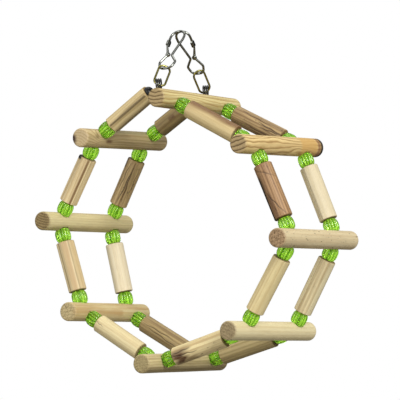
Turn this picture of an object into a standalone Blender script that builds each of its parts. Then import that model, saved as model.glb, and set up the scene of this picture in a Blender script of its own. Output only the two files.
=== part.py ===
"""Hanging perch wheel for cage birds.

Eight round wooden perches are strung between two wire hoops.  Between the
perches each hoop carries wooden spacers with a ribbed bead at either end.
At the top each hoop is wound into a coil, and an oval link and a spring hook
hang the coil from one point.

The wheel lies in the XZ plane, its perches run along Y, and +Z is up.
The origin is the top of whatever the two hooks hang on.
"""
import math

import bmesh
import bpy
import numpy as np
from mathutils import Matrix, Vector

# Clearances
GAP = 0.0003
DRILL_PLAY = 0.0013
DRILL_OVERRUN = 0.8
DRILL_STEPS = 10
BORE_PLAY = 0.0008

# Perches
PERCH_DIAMETER = 0.018
PERCH_LENGTH = 0.150
PERCH_ROUNDING = 0.0018
PERCH_STEPS = 20
HOOP_SPREAD = 0.090

# Places of the perches round the wheel: name, bearing in degrees from +X, reach beyond the wheel radius,
# and the degrees by which the rear end lies off to +X and up
WHEEL_RADIUS = 0.1225
PERCH_PLACES = (
    ("top", 85.5, -0.0005, 0.0, 0.0),
    ("upper_right", 37.9, -0.0021, 1.3, 1.3),
    ("right", -6.6, 0.0073, 0.2, 0.2),
    ("lower_right", -51.5, 0.002, 2.4, -1.0),
    ("bottom", -98.1, 0.002, 0.3, -0.3),
    ("lower_left", -143.9, -0.0002, -2.7, -0.7),
    ("left", -187.6, -0.0029, 1.1, 0.1),
    ("upper_left", -231.4, -0.0036, -0.1, 1.5),
)

# Spacers, beads and stoppers
SPACER_DIAMETER = 0.0175
SPACER_CHAMFER = 0.0006
SPACER_STEPS = 16
BEAD_DIAMETER = 0.015
BEAD_LENGTH = 0.013
BEAD_END_DIAMETER = 0.0068
BEAD_RIBS = 8
BEAD_GROOVE = 0.0011
BEAD_SEAT = 0.0018
BEAD_SEAT_DIAMETER = 0.0132
STOPPER_DIAMETER = 0.013
STOPPER_LENGTH = 0.0048

# Hoops and the coils at their tops
HOOP_WIRE = 0.0015
HOOP_BEND = 0.012
COIL_RADIUS = 0.0055
COIL_PITCH = 0.00195
COIL_TURN = 20.0
COIL_TURNS = 3
COIL_STEPS = 13
COIL_BEND = 0.0015
COIL_SIDE = 0.0136
COIL_RISE = 0.0148
STOPPER_MARGIN = 0.008
STOPPER_NECK = 0.0006
PERCH_MARGIN = 0.0012

# Links
LINK_LENGTH = 0.026
LINK_WIDTH = 0.013
LINK_WIRE = 0.002
LINK_CORNER = 0.005
LINK_TURN = 42.0
LINK_OVERHANG = 0.0006

# Spring hooks, in their own plane: along X from the middle, and down from the crown's centre line
HOOK_WIRE = 0.0023
HOOK_HALF_WIDTH = 0.0074
HOOK_SHOULDER = 0.0105
HOOK_WAIST = 0.0315
HOOK_WAIST_SIDE = 0.0017
HOOK_EYE_HALF = 0.0085
HOOK_EYE_SIDE = 0.0405
HOOK_FOOT_HALF = 0.0061
HOOK_DROP = 0.0487
HOOK_CROWN_BEND = 0.98 * HOOK_HALF_WIDTH
HOOK_SHOULDER_BEND = 0.008
HOOK_SIDE_BEND = 0.003
HOOK_FOOT_BEND = 0.006
PIVOT_SIDE = -0.0027
PIVOT_DROP = 0.0305
PIVOT_PAD = 0.0046
PIVOT_THICKNESS = 0.0024
PAD_STEPS = 16
PIN_STEPS = 12
NOSE_TOP = 0.0115
NOSE_OVERLAP = 0.001
NOSE_WEB = 0.001
NOSE_TIP = 0.0178
NOSE_WIDTH = 0.0048
NOSE_DEPTH = 0.0026
NOSE_WALL = 0.0006
GATE_WIRE = 0.0013
GATE_LEG_BEND = 0.0009
GATE_FOOT_BEND = 0.003
GATE_TIP_HALF = 0.0008
GATE_TIP_BEND = 0.0007

HUB = "perch_wheel"


def clear_scene():
    """Remove the objects that the file opens with."""
    for item in list(bpy.data.objects):
        bpy.data.objects.remove(item, do_unlink=True)


def make_collection(name):
    """Add an empty collection to the scene."""
    group = bpy.data.collections.new(name)
    bpy.context.scene.collection.children.link(group)
    return group


def make_material(name, colour, roughness, metallic=0.0):
    """A plain Principled material."""
    material = bpy.data.materials.new(name)
    material.use_nodes = True
    shader = material.node_tree.nodes["Principled BSDF"]
    shader.inputs["Base Color"].default_value = (*colour, 1.0)
    shader.inputs["Roughness"].default_value = roughness
    shader.inputs["Metallic"].default_value = metallic
    material.diffuse_color = (*colour, 1.0)
    return material


def add_object(name, mesh, matrix, material, group):
    """Place a mesh in the world under a name."""
    item = bpy.data.objects.new(name, mesh)
    item.matrix_world = matrix
    if material and not mesh.materials:
        mesh.materials.append(material)
    group.objects.link(item)
    return item


def make_cutter(name, mesh, matrix):
    """A mesh that only cuts or joins others, shown as wire and left out of renders."""
    item = add_object(name, mesh, matrix, None, CUTTERS)
    item.hide_render = True
    item.display_type = "WIRE"
    return item


def apply_boolean(target, cutter, operation):
    """Cut or join a mesh object with another for good."""
    modifier = target.modifiers.new("boolean", "BOOLEAN")
    modifier.operation = operation
    modifier.object = cutter
    modifier.solver = "EXACT"


def shade(mesh, angle=40.0):
    """Smooth shading with sharp edges kept."""
    mesh.shade_smooth()
    mesh.set_sharp_from_angle(angle=math.radians(angle))


def turned_mesh(name, profile, steps, closed=False):
    """A body turned about Z from a profile of radius and height, given down its outer side."""
    mesh = bpy.data.meshes.new(name)
    corners = [(radius, 0.0, height) for radius, height in profile]
    edges = [(i, i + 1) for i in range(len(corners) - 1)]
    if closed:
        edges.append((len(corners) - 1, 0))
    mesh.from_pydata(corners, edges, [])
    blank = bpy.data.objects.new(name + "_blank", mesh)
    CUTTERS.objects.link(blank)
    screw = blank.modifiers.new("turn", "SCREW")
    screw.axis = "Z"
    screw.angle = math.tau
    screw.steps = steps
    screw.render_steps = steps
    screw.use_merge_vertices = True
    screw.merge_threshold = 0.00001
    bpy.context.view_layer.update()
    evaluated = blank.evaluated_get(bpy.context.evaluated_depsgraph_get())
    turned = bpy.data.meshes.new_from_object(evaluated)
    turned.name = name
    bpy.data.objects.remove(blank)
    bpy.data.meshes.remove(mesh)
    shade(turned)
    return turned


def block_mesh(name, size, centre):
    """A plain block of a given size about a centre."""
    mesh = bpy.data.meshes.new(name)
    body = bmesh.new()
    bmesh.ops.create_cube(body, size=1.0)
    bmesh.ops.scale(body, vec=Vector(size), verts=body.verts)
    bmesh.ops.translate(body, vec=Vector(centre), verts=body.verts)
    body.to_mesh(mesh)
    body.free()
    return mesh


def wire_mesh(name, points, diameter, closed=False, sides=2):
    """Round wire along a list of points, its cut ends filled."""
    curve = bpy.data.curves.new(name, "CURVE")
    curve.dimensions = "3D"
    curve.bevel_depth = diameter / 2
    curve.bevel_resolution = sides
    curve.use_fill_caps = True
    spline = curve.splines.new("POLY")
    spline.points.add(len(points) - 1)
    for knot, point in zip(spline.points, points):
        knot.co = (*point, 1.0)
    spline.use_cyclic_u = closed
    strand = bpy.data.objects.new(name + "_strand", curve)
    CUTTERS.objects.link(strand)
    bpy.context.view_layer.update()
    evaluated = strand.evaluated_get(bpy.context.evaluated_depsgraph_get())
    mesh = bpy.data.meshes.new_from_object(evaluated)
    mesh.name = name
    bpy.data.objects.remove(strand)
    bpy.data.curves.remove(curve)
    body = bmesh.new()
    body.from_mesh(mesh)
    bmesh.ops.remove_doubles(body, verts=body.verts, dist=0.000001)
    bmesh.ops.recalc_face_normals(body, faces=body.faces)
    body.to_mesh(mesh)
    body.free()
    shade(mesh)
    return mesh


def arc(centre, start, middle, count):
    """Points on the arc about a centre that starts at a point and bends the way of another."""
    first = start - centre
    last = middle - centre
    sweep = first.angle(last)
    axis = first.cross(last).normalized()
    return [centre + Matrix.Rotation(sweep * i / count, 3, axis) @ first for i in range(count + 1)]


def rounded_path(corners, radii, closed=False, step=22.5):
    """A polyline whose corners are rounded by arcs, with a point at least every so many degrees."""
    corners = [Vector(corner) for corner in corners]
    count = len(corners)
    path = []
    for i, corner in enumerate(corners):
        at_end = not closed and i in (0, count - 1)
        if at_end or radii[i] == 0.0:
            path.append(corner)
            continue
        back = (corners[i - 1] - corner).normalized()
        ahead = (corners[(i + 1) % count] - corner).normalized()
        bend = math.pi - back.angle(ahead)
        reach = radii[i] * math.tan(bend / 2)
        to_centre = (back + ahead).normalized() * radii[i] / math.cos(bend / 2)
        pieces = max(1, math.ceil(math.degrees(bend) / step))
        path += arc(corner + to_centre, corner + back * reach, corner + ahead * reach, pieces)
    return path


def resampled(path, spacing, closed=False):
    """The same path with a point every so often, as an array."""
    knots = list(path) + ([path[0]] if closed else [])
    points = []
    for a, b in zip(knots[:-1], knots[1:]):
        count = max(1, int((b - a).length / spacing))
        points += [a.lerp(b, i / count) for i in range(count)]
    points.append(knots[-1])
    return np.array([tuple(point) for point in points])


def least_distance(first, second):
    """Least distance between two arrays of points."""
    return float(np.sqrt(((first[:, None, :] - second[None, :, :]) ** 2).sum(axis=2)).min())


def slide_until_near(moving, still, direction, distance, limit=0.008):
    """How far one set of points can slide before it comes within a distance of another."""
    direction = np.array(direction)
    steps = np.arange(0.0, limit, 0.00005)
    for step in steps:
        if least_distance(moving + direction * step, still) < distance:
            return float(step - 0.00005)
    return limit


def hoop_corners(offset):
    """Where the perches' axes are in the wheel's own frame, at an offset from its middle plane."""
    corners = []
    for _, bearing, reach, side_lead, rise_lead in PERCH_PLACES:
        angle = math.radians(bearing)
        middle = Vector((math.cos(angle), 0.0, math.sin(angle))) * (WHEEL_RADIUS + reach)
        lead = Vector((math.tan(math.radians(side_lead)), 1.0, math.tan(math.radians(rise_lead))))
        corners.append(middle + lead * offset)
    return corners


def along(direction, origin):
    """A placing whose Z runs along a direction in the wheel's plane and whose Y is the perches'."""
    z = direction.normalized()
    y = Vector((0.0, 1.0, 0.0))
    x = y.cross(z)
    return Matrix.Translation(origin) @ Matrix((x, y, z)).transposed().to_4x4()


def hook_plane(point):
    """A point of the hook's own plane, given as side and drop, as X and Z."""
    side, drop = point
    return Vector((side, 0.0, -drop))


# The hook's centre line from its nose over the crown, down the straight side and round the eye
HOOK_PATH = rounded_path(
    [
        hook_plane(point)
        for point in (
            (-HOOK_HALF_WIDTH, NOSE_TOP + NOSE_OVERLAP),
            (-HOOK_HALF_WIDTH, 0.0),
            (HOOK_HALF_WIDTH, 0.0),
            (HOOK_HALF_WIDTH, HOOK_SHOULDER),
            (HOOK_WAIST_SIDE, HOOK_WAIST),
            (HOOK_EYE_HALF, HOOK_EYE_SIDE),
            (HOOK_FOOT_HALF, HOOK_DROP),
            (-HOOK_FOOT_HALF, HOOK_DROP),
            (-HOOK_EYE_HALF, HOOK_EYE_SIDE),
            (PIVOT_SIDE, PIVOT_DROP),
        )
    ],
    (
        0.0,
        HOOK_CROWN_BEND,
        HOOK_CROWN_BEND,
        HOOK_SHOULDER_BEND,
        HOOK_SIDE_BEND,
        HOOK_SIDE_BEND,
        HOOK_FOOT_BEND,
        HOOK_FOOT_BEND,
        HOOK_SIDE_BEND,
        0.0,
    ),
)
LINK_PATH = rounded_path(
    [
        Vector((side * (LINK_WIDTH - LINK_WIRE) / 2, 0.0, -drop * (LINK_LENGTH - LINK_WIRE)))
        for side, drop in ((-1, 0), (1, 0), (1, 1), (-1, 1))
    ],
    (LINK_CORNER,) * 4,
    closed=True,
)

# Each link is turned about the hook's length, and hangs as low in the eye as it can
LINK_SPIN = Matrix.Rotation(math.radians(LINK_TURN), 4, "Z")
LINK_START = HOOK_DROP - 0.007
LINK_DROP = LINK_START + slide_until_near(
    resampled([LINK_SPIN @ (point + Vector((0, 0, -LINK_START))) for point in LINK_PATH], 0.0003, closed=True),
    resampled(HOOK_PATH, 0.0003),
    (0.0, 0.0, -1.0),
    (HOOK_WIRE + LINK_WIRE) / 2 + GAP,
)
CHAIN = LINK_DROP + LINK_LENGTH - LINK_WIRE
CROWN_SIDE = (HOOK_WIRE + GAP) / 2
LEAN = math.asin((HOOP_SPREAD / 2 + LINK_OVERHANG - CROWN_SIDE) / CHAIN)

# The front hook's plane leans forward from the crown, and the rear one is the same turned half round
FRONT_HOOK = Matrix.Translation((0.0, -CROWN_SIDE, HOOK_WIRE / 2)) @ Matrix.Rotation(-LEAN, 4, "X")
HALF_TURN = Matrix.Rotation(math.pi, 4, "Z")
HOOK_PLACES = {"front": FRONT_HOOK, "rear": HALF_TURN @ FRONT_HOOK}
HOOP_SIDES = {"front": -HOOP_SPREAD / 2, "rear": HOOP_SPREAD / 2}


def link_place(side):
    """Where a link hangs in its hook's eye."""
    return HOOK_PLACES[side] @ Matrix.Translation((0.0, 0.0, -LINK_DROP)) @ LINK_SPIN


def coil_path():
    """The coil's centre line about its middle, wound along X from its foot to its foot and then turned."""
    count = COIL_STEPS * COIL_TURNS
    path = []
    for i in range(count + 1):
        angle = math.tau * COIL_TURNS * i / count
        reach = COIL_LENGTH * (i / count - 0.5)
        path.append(Vector((reach, COIL_RADIUS * math.sin(angle), -COIL_RADIUS * math.cos(angle))))
    turn = Matrix.Rotation(math.radians(COIL_TURN), 3, "Z")
    return [turn @ point for point in path]


# The coils stand beside the top perch, and each hoop's last run points at the middle of its coil
MIDDLES = hoop_corners(0.0)
CORNERS = {side: hoop_corners(offset) for side, offset in HOOP_SIDES.items()}
COIL_LENGTH = COIL_PITCH * COIL_TURNS
COIL_CENTRE = MIDDLES[0] + Vector((-COIL_SIDE, 0.0, COIL_RISE))
COIL_PATH = coil_path()
COIL_CENTRES = {side: COIL_CENTRE + Vector((0.0, offset, 0.0)) for side, offset in HOOP_SIDES.items()}

# The front coil hangs on the foot of its link, and the wheel goes where the coil is
LINK_FOOT = link_place("front") @ Vector((0.0, 0.0, -(LINK_LENGTH - LINK_WIRE)))
COIL_DROP = slide_until_near(
    resampled([LINK_FOOT + Vector((0.0, LINK_OVERHANG, 0.0)) + point for point in COIL_PATH], 0.0003),
    resampled([link_place("front") @ point for point in LINK_PATH], 0.0003, closed=True),
    (0.0, 0.0, -1.0),
    (HOOP_WIRE + LINK_WIRE) / 2 + GAP,
)
WHEEL_CENTRE = Vector((0.0, 0.0, LINK_FOOT.z - COIL_DROP)) - COIL_CENTRE

BEAD_START = PERCH_DIAMETER / 2 - BEAD_SEAT + GAP
SPACER_START = BEAD_START + BEAD_LENGTH + GAP
STOPPER_START = STOPPER_MARGIN + STOPPER_LENGTH


def hoop_run(side, i):
    """The stretch of a hoop from one perch to the next, or from the last perch to the coil."""
    corners = CORNERS[side]
    end = COIL_CENTRES[side] if i == len(corners) - 1 else corners[i + 1]
    return end - corners[i]


def drill_mesh(name, inner):
    """A cutter for a perch: the hoop's hole down to an inner end, and the flat that a bead sits on."""
    hole = HOOP_WIRE / 2 + DRILL_PLAY
    outer = PERCH_DIAMETER
    seat = BEAD_SEAT_DIAMETER / 2
    floor = PERCH_DIAMETER / 2 - BEAD_SEAT
    profile = [(0.0, outer), (seat, outer), (seat, floor), (hole, floor), (hole, inner), (0.0, inner)]
    return turned_mesh(name, profile, DRILL_STEPS)


def make_perches():
    """The perches: each is drilled from both sides at both hoops, and the top one straight through."""
    radius = PERCH_DIAMETER / 2
    half = PERCH_LENGTH / 2
    top = [
        (radius - PERCH_ROUNDING * (1 - math.sin(a)), half - PERCH_ROUNDING * (1 - math.cos(a)))
        for a in (0.0, math.pi / 4, math.pi / 2)
    ]
    profile = [(0.0, half), *top, *[(r, -z) for r, z in reversed(top)], (0.0, -half)]
    half_drill = drill_mesh("half_drill", -(HOOP_WIRE / 2 + DRILL_PLAY) * DRILL_OVERRUN)
    full_drill = drill_mesh("full_drill", -PERCH_DIAMETER)
    for i, (name, *_) in enumerate(PERCH_PLACES):
        mesh = turned_mesh(name + "_perch", profile, PERCH_STEPS)
        lie = (CORNERS["rear"][i] - CORNERS["front"][i]).to_track_quat("Z", "Y").to_matrix().to_4x4()
        place = Matrix.Translation(WHEEL_CENTRE + MIDDLES[i]) @ lie
        perch = add_object(name + "_perch", mesh, place, WOOD, PARTS)
        for side in HOOP_SIDES:
            drills = [("ahead", hoop_run(side, i), full_drill)]
            if i > 0:
                drills = [("ahead", hoop_run(side, i), half_drill), ("back", -hoop_run(side, i - 1), half_drill)]
            for end, direction, drill in drills:
                origin = WHEEL_CENTRE + CORNERS[side][i]
                cutter = make_cutter(f"{name}_{side}_{end}_drill", drill, along(direction, origin))
                apply_boolean(perch, cutter, "DIFFERENCE")


BORE = HOOP_WIRE / 2 + BORE_PLAY


def spacer_profile(length):
    """Outline of a short drilled dowel that stands on the origin."""
    outer = SPACER_DIAMETER / 2
    return [
        (BORE, length),
        (outer - SPACER_CHAMFER, length),
        (outer, length - SPACER_CHAMFER),
        (outer, SPACER_CHAMFER),
        (outer - SPACER_CHAMFER, 0.0),
        (BORE, 0.0),
    ]


def bead_profile(foot):
    """Outline of a bead's drilled barrel whose lower end is at a height."""
    end = BEAD_END_DIAMETER / 2
    belly = BEAD_DIAMETER / 2
    rows = ((BORE, 1.0), (end, 1.0), (belly, 0.7), (belly, 0.3), (end, 0.0), (BORE, 0.0))
    return [(radius, foot + BEAD_LENGTH * part) for radius, part in rows]


def groove_bead(mesh, top):
    """Press the grooves between the ribs into whatever of a turned mesh lies below a height."""
    end = BEAD_END_DIAMETER / 2
    belly = BEAD_DIAMETER / 2
    for vertex in mesh.vertices:
        radius = math.hypot(vertex.co.x, vertex.co.y)
        column = round(math.atan2(vertex.co.y, vertex.co.x) / math.tau * BEAD_RIBS * 2)
        if column % 2 and vertex.co.z < top and radius > end * 1.2:
            vertex.co.xy *= 1.0 - BEAD_GROOVE / radius * (radius - end) / (belly - end)
    shade(mesh, 60.0)


def bead_mesh():
    """A ribbed bead along Z from the origin."""
    mesh = turned_mesh("bead", bead_profile(0.0), BEAD_RIBS * 2, closed=True)
    groove_bead(mesh, BEAD_LENGTH)
    return mesh


def spacer_with_bead_mesh(name, length):
    """A spacer whose lower bead is glued to it, so that they are one body."""
    profile = spacer_profile(length)[:-1] + bead_profile(-BEAD_LENGTH)[1:]
    mesh = turned_mesh(name, profile, BEAD_RIBS * 2, closed=True)
    groove_bead(mesh, -GAP)
    return mesh


def make_strings():
    """Spacers and beads on both hoops."""
    bead = bead_mesh()
    count = len(PERCH_PLACES)
    for i, (name, *_) in enumerate(PERCH_PLACES):
        last = i == count - 1
        next_name = PERCH_PLACES[(i + 1) % count][0]
        for side in HOOP_SIDES:
            run = hoop_run(side, i)
            end = run.length - (STOPPER_START + GAP if last else SPACER_START)
            base = along(run, WHEEL_CENTRE + CORNERS[side][i])
            label = f"{side}_{name}_to_{next_name}"
            if last:
                mesh = spacer_with_bead_mesh(label + "_spacer", end - SPACER_START + GAP)
                start = base @ Matrix.Translation((0.0, 0.0, SPACER_START - GAP))
                add_object(label + "_spacer", mesh, start, WOOD, PARTS)
                continue
            mesh = turned_mesh(label + "_spacer", spacer_profile(end - SPACER_START), SPACER_STEPS, closed=True)
            start = base @ Matrix.Translation((0.0, 0.0, SPACER_START))
            add_object(label + "_spacer", mesh, start, WOOD, PARTS)
            for number, height in ((1, BEAD_START), (2, end + GAP)):
                place = base @ Matrix.Translation((0.0, 0.0, height))
                add_object(f"{label}_bead_{number}", bead, place, LIME, PARTS)


def hoop_path(side):
    """Centre line of a hoop in the wheel's frame, from the top perch round to the coil and back to it."""
    top, *others = CORNERS[side]
    first_run = hoop_run(side, 0).normalized()
    last_run = hoop_run(side, len(others)).normalized()
    neck = COIL_CENTRES[side] - last_run * (STOPPER_MARGIN - STOPPER_NECK)
    coil = [COIL_CENTRES[side] + point for point in COIL_PATH]
    mouth = top - first_run * (PERCH_DIAMETER / 2 + PERCH_MARGIN)
    corners = [top + first_run * GAP, *others, neck, *coil, mouth, top - first_run * GAP]
    ring_bends = [0.0] + [HOOP_BEND] * len(others)
    coil_bends = [COIL_BEND, COIL_BEND] + [0.0] * (len(coil) - 2) + [COIL_BEND, COIL_BEND]
    return rounded_path(corners, ring_bends + coil_bends + [0.0])


def least_gap(path, diameter, apart):
    """Least gap of a wire to itself between places at least so far apart along it."""
    points = resampled(path, diameter / 8)
    steps = np.linalg.norm(np.diff(points, axis=0), axis=1)
    lengths = np.concatenate([[0.0], np.cumsum(steps)])
    gaps = np.sqrt(((points[:, None, :] - points[None, :, :]) ** 2).sum(axis=2))
    return float(gaps[np.abs(lengths[:, None] - lengths[None, :]) > apart].min() - diameter)


def make_hoops():
    """Each hoop as one bent wire, wound into a coil at the top, with a stopper fixed below the coil."""
    rows = ((0.0, 1.0), (0.62, 1.0), (0.9, 0.72), (1.0, 0.3), (1.0, 0.0), (0.0, 0.0))
    profile = [(STOPPER_DIAMETER / 2 * out, STOPPER_LENGTH * up) for out, up in rows]
    stopper = turned_mesh("stopper", profile, SPACER_STEPS)
    for side in HOOP_SIDES:
        mesh = wire_mesh(f"{side}_hoop", hoop_path(side), HOOP_WIRE, sides=1)
        hoop = add_object(f"{side}_hoop", mesh, Matrix.Translation(WHEEL_CENTRE), STEEL, PARTS)
        run = hoop_run(side, len(PERCH_PLACES) - 1)
        foot = WHEEL_CENTRE + COIL_CENTRES[side] - run.normalized() * STOPPER_START
        apply_boolean(hoop, make_cutter(f"{side}_stopper", stopper, along(run, foot)), "UNION")


def make_links():
    """The two oval links."""
    for side in HOOK_PLACES:
        mesh = wire_mesh(f"{side}_link", LINK_PATH, LINK_WIRE, closed=True)
        add_object(f"{side}_link", mesh, link_place(side), BRASS, PARTS)


def disc_profile(radius, half):
    """Outline of a plain disc about the origin."""
    return [(0.0, half), (radius, half), (radius, -half), (0.0, -half)]


def make_hooks():
    """The spring hooks: a bent wire body with a channelled nose and a pivot pad, and a wire gate."""
    nose_floor = -HOOK_HALF_WIDTH - NOSE_DEPTH / 2 + NOSE_WALL
    nose = block_mesh(
        "nose",
        (NOSE_DEPTH, NOSE_WIDTH, NOSE_TIP - NOSE_TOP),
        (-HOOK_HALF_WIDTH, 0.0, -(NOSE_TOP + NOSE_TIP) / 2),
    )
    slot_top = NOSE_TOP + NOSE_WEB
    slot_end = NOSE_TIP + NOSE_DEPTH
    slot = block_mesh(
        "slot",
        (NOSE_DEPTH, NOSE_WIDTH - 2 * NOSE_WALL, slot_end - slot_top),
        (nose_floor + NOSE_DEPTH / 2, 0.0, -(slot_top + slot_end) / 2),
    )
    pad = turned_mesh("pad", disc_profile(PIVOT_PAD / 2, PIVOT_THICKNESS / 2), PAD_STEPS)
    pin_hole = turned_mesh("pin_hole", disc_profile(GATE_WIRE / 2 + GAP, HOOK_WIRE), PIN_STEPS)
    pivot = hook_plane((PIVOT_SIDE, PIVOT_DROP))
    leg_side = PIVOT_THICKNESS / 2 + GAP + GATE_WIRE / 2
    tip_drop = slot_top + GAP + GATE_WIRE / 2
    tip_side = nose_floor + GAP + GATE_WIRE / 2
    tip = hook_plane((tip_side, tip_drop))
    foot = hook_plane((tip_side, NOSE_TIP + GATE_WIRE))
    across = Vector((0.0, 1.0, 0.0))
    for side, place in HOOK_PLACES.items():
        body = add_object(f"{side}_hook", wire_mesh(f"{side}_hook", HOOK_PATH, HOOK_WIRE), place, STEEL, PARTS)
        pad_place = place @ Matrix.Translation(pivot) @ Matrix.Rotation(math.pi / 2, 4, "X")
        apply_boolean(body, make_cutter(f"{side}_nose", nose, place), "UNION")
        apply_boolean(body, make_cutter(f"{side}_pad", pad, pad_place), "UNION")
        apply_boolean(body, make_cutter(f"{side}_slot", slot, place), "DIFFERENCE")
        apply_boolean(body, make_cutter(f"{side}_pin_hole", pin_hole, pad_place), "DIFFERENCE")
        corners = [
            pivot - across * GAP,
            pivot - across * leg_side,
            foot - across * GATE_TIP_HALF,
            tip - across * GATE_TIP_HALF,
            tip + across * GATE_TIP_HALF,
            foot + across * GATE_TIP_HALF,
            pivot + across * leg_side,
            pivot + across * GAP,
        ]
        half_bends = (0.0, GATE_LEG_BEND, GATE_FOOT_BEND, GATE_TIP_BEND)
        bends = half_bends + half_bends[::-1]
        gate_points = [point - pivot for point in rounded_path(corners, bends, step=30.0)]
        gate = wire_mesh(f"{side}_gate", gate_points, GATE_WIRE, sides=1)
        add_object(f"{side}_gate", gate, place @ Matrix.Translation(pivot), STEEL, PARTS)


clear_scene()
PARTS = make_collection(HUB)
CUTTERS = make_collection("cutters")
WOOD = make_material("wood", (0.62, 0.46, 0.25), 0.6)
LIME = make_material("lime_plastic", (0.33, 0.72, 0.05), 0.2)
STEEL = make_material("plated_steel", (0.6, 0.6, 0.6), 0.2, 1.0)
BRASS = make_material("brassy_steel", (0.55, 0.52, 0.42), 0.25, 1.0)
make_perches()
make_strings()
make_hoops()
make_links()
make_hooks()
bpy.context.view_layer.update()
print("lean of the hooks in degrees", round(math.degrees(LEAN), 2))
print("least gap of the coils in mm", round(least_gap(COIL_PATH, HOOP_WIRE, 4 * COIL_RADIUS) * 1000, 2))
print("wheel centre", tuple(round(value, 5) for value in WHEEL_CENTRE))
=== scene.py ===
"""Looks of a hanging perch wheel for cage birds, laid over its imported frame.

Every dowel, bead, wire, link and hook is a numpy surface in metres in the frame's own
axes.  The wheel lies in the XZ plane, its perches run along Y and +Z is up.
"""

import logging
import math
from dataclasses import dataclass, field
from enum import Enum

import bpy
import numpy as np
from mathutils import Matrix, Vector


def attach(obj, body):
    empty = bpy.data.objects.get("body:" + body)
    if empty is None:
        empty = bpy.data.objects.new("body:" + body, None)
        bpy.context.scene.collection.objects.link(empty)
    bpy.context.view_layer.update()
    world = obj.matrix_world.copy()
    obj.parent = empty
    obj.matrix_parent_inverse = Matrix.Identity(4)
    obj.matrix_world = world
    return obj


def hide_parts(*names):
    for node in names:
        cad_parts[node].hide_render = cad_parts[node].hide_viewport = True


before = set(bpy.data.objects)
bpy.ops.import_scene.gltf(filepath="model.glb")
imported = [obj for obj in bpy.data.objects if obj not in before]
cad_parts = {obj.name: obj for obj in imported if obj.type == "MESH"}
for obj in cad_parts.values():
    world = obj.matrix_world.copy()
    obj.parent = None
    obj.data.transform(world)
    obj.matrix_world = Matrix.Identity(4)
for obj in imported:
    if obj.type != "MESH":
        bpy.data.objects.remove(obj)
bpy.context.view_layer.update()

log = logging.getLogger("perch_wheel")
Array = np.ndarray
Colour = tuple[float, float, float]
Sockets = tuple[tuple[str, str], ...]

MM = 0.001
GAP = 0.0003
PERCH_RADIUS = 0.009
HOOP_OFFSET = 0.045
WHEEL_CENTRE = np.array((0.004028, 0.0, -0.189681))
Y_AXIS = np.array((0.0, 1.0, 0.0))

FACING = 0.2  # least cosine of the angle from a flat's middle at which the flat reaches
UNEVEN = 0.00007  # half the depth of a dowel's slow dips
CRACK_DEPTH = 0.0004
CRACK_WAVER, CRACK_WAVES = 0.04, 14  # radians to either side, and how quickly
STAIN_AND_SHADE_EDGE = 0.03  # share of the length over which a darker patch of staining or painted shade ends
FIBRE_LOW, FIBRE_RANGE = 0.72, 0.56  # lightness that the fibre gives to the side
FLECK_SHADE = 0.42  # lightness of the flecks, as a share of the streaks' own
END_TINT = (1.06, 0.95, 0.66)  # how much browner the dark lines of the ends are
CRACK_COLOUR = (50, 34, 20)
RIM_RISE, RIM_BASE = 3.0, 1.1  # how quickly a patch of staining or painted shade comes up on an end, and where it starts
CLOUD_SCALE = 420.0  # how close the patches on metal and in plastic lie
DULL_SHADE = 0.45  # lightness of a wire's dull film, as a share of the wire's own
PLASTIC_INDEX = 1.49
PERCH_SHAPE_SEED, PERCH_GRAIN_SEED, SPACER_SEED = 11, 3, 40
BEAD_TURN = 0.37  # radians by which the beads differ, times their number
ROW_GAP = 0.0001  # least distance between two rows of a perch


class Side(Enum):
    """The two hoops and their hangers, with the sign of their place along Y."""

    FRONT = -1
    REAR = 1

    @property
    def label(self) -> str:
        """The word that starts the names of this side's pieces."""
        return self.name.lower()

    @property
    def offset(self) -> float:
        """Where this side's hoop lies along Y."""
        return self.value * HOOP_OFFSET


def linear(colour: Colour) -> tuple[float, float, float, float]:
    """Turn a colour as it is seen on a screen into the linear one that shaders take.

    Args:
        colour: Red, green and blue from 0 to 255.

    Returns:
        The linear colour with full alpha.
    """
    part = np.asarray(colour, float) / 255.0
    low = part / 12.92
    high = ((part + 0.055) / 1.055) ** 2.4
    return (*np.where(part <= 0.04045, low, high).tolist(), 1.0)


def unit(vectors: Array) -> Array:
    """Scale each vector of an array to length one."""
    return vectors / np.linalg.norm(vectors, axis=-1, keepdims=True)


def turn_z(degrees: float) -> Array:
    """Rotation about Z as a 3 by 3 array."""
    return np.array(Matrix.Rotation(math.radians(degrees), 3, "Z"))


def turn_x(degrees: float) -> Array:
    """Rotation about X as a 3 by 3 array."""
    return np.array(Matrix.Rotation(math.radians(degrees), 3, "X"))


def full_turn(count: int) -> Array:
    """Angles in radians of points that are spaced evenly round a circle."""
    return np.linspace(0.0, math.tau, count, endpoint=False)


def turn_from(angle: Array, middle: Array | float) -> Array:
    """Turn from a middle to an angle, in radians from minus a half turn to a half turn."""
    return np.angle(np.exp(1j * (angle - middle)))


def around(angle: Array, axis: Array, across: Array) -> Array:
    """Work out the directions at angles round an axis, from one across it that is angle 0."""
    return np.cos(angle)[..., None] * across + np.sin(angle)[..., None] * np.cross(axis, across)


def quarter_round(radius: float, count: int) -> tuple[Array, Array]:
    """Work out radius * (1 - sin a) and radius * (1 - cos a) for angles from 0 to 90 degrees."""
    angle = np.linspace(0.0, math.pi / 2, count)
    return radius * (1 - np.sin(angle)), radius * (1 - np.cos(angle))


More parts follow.
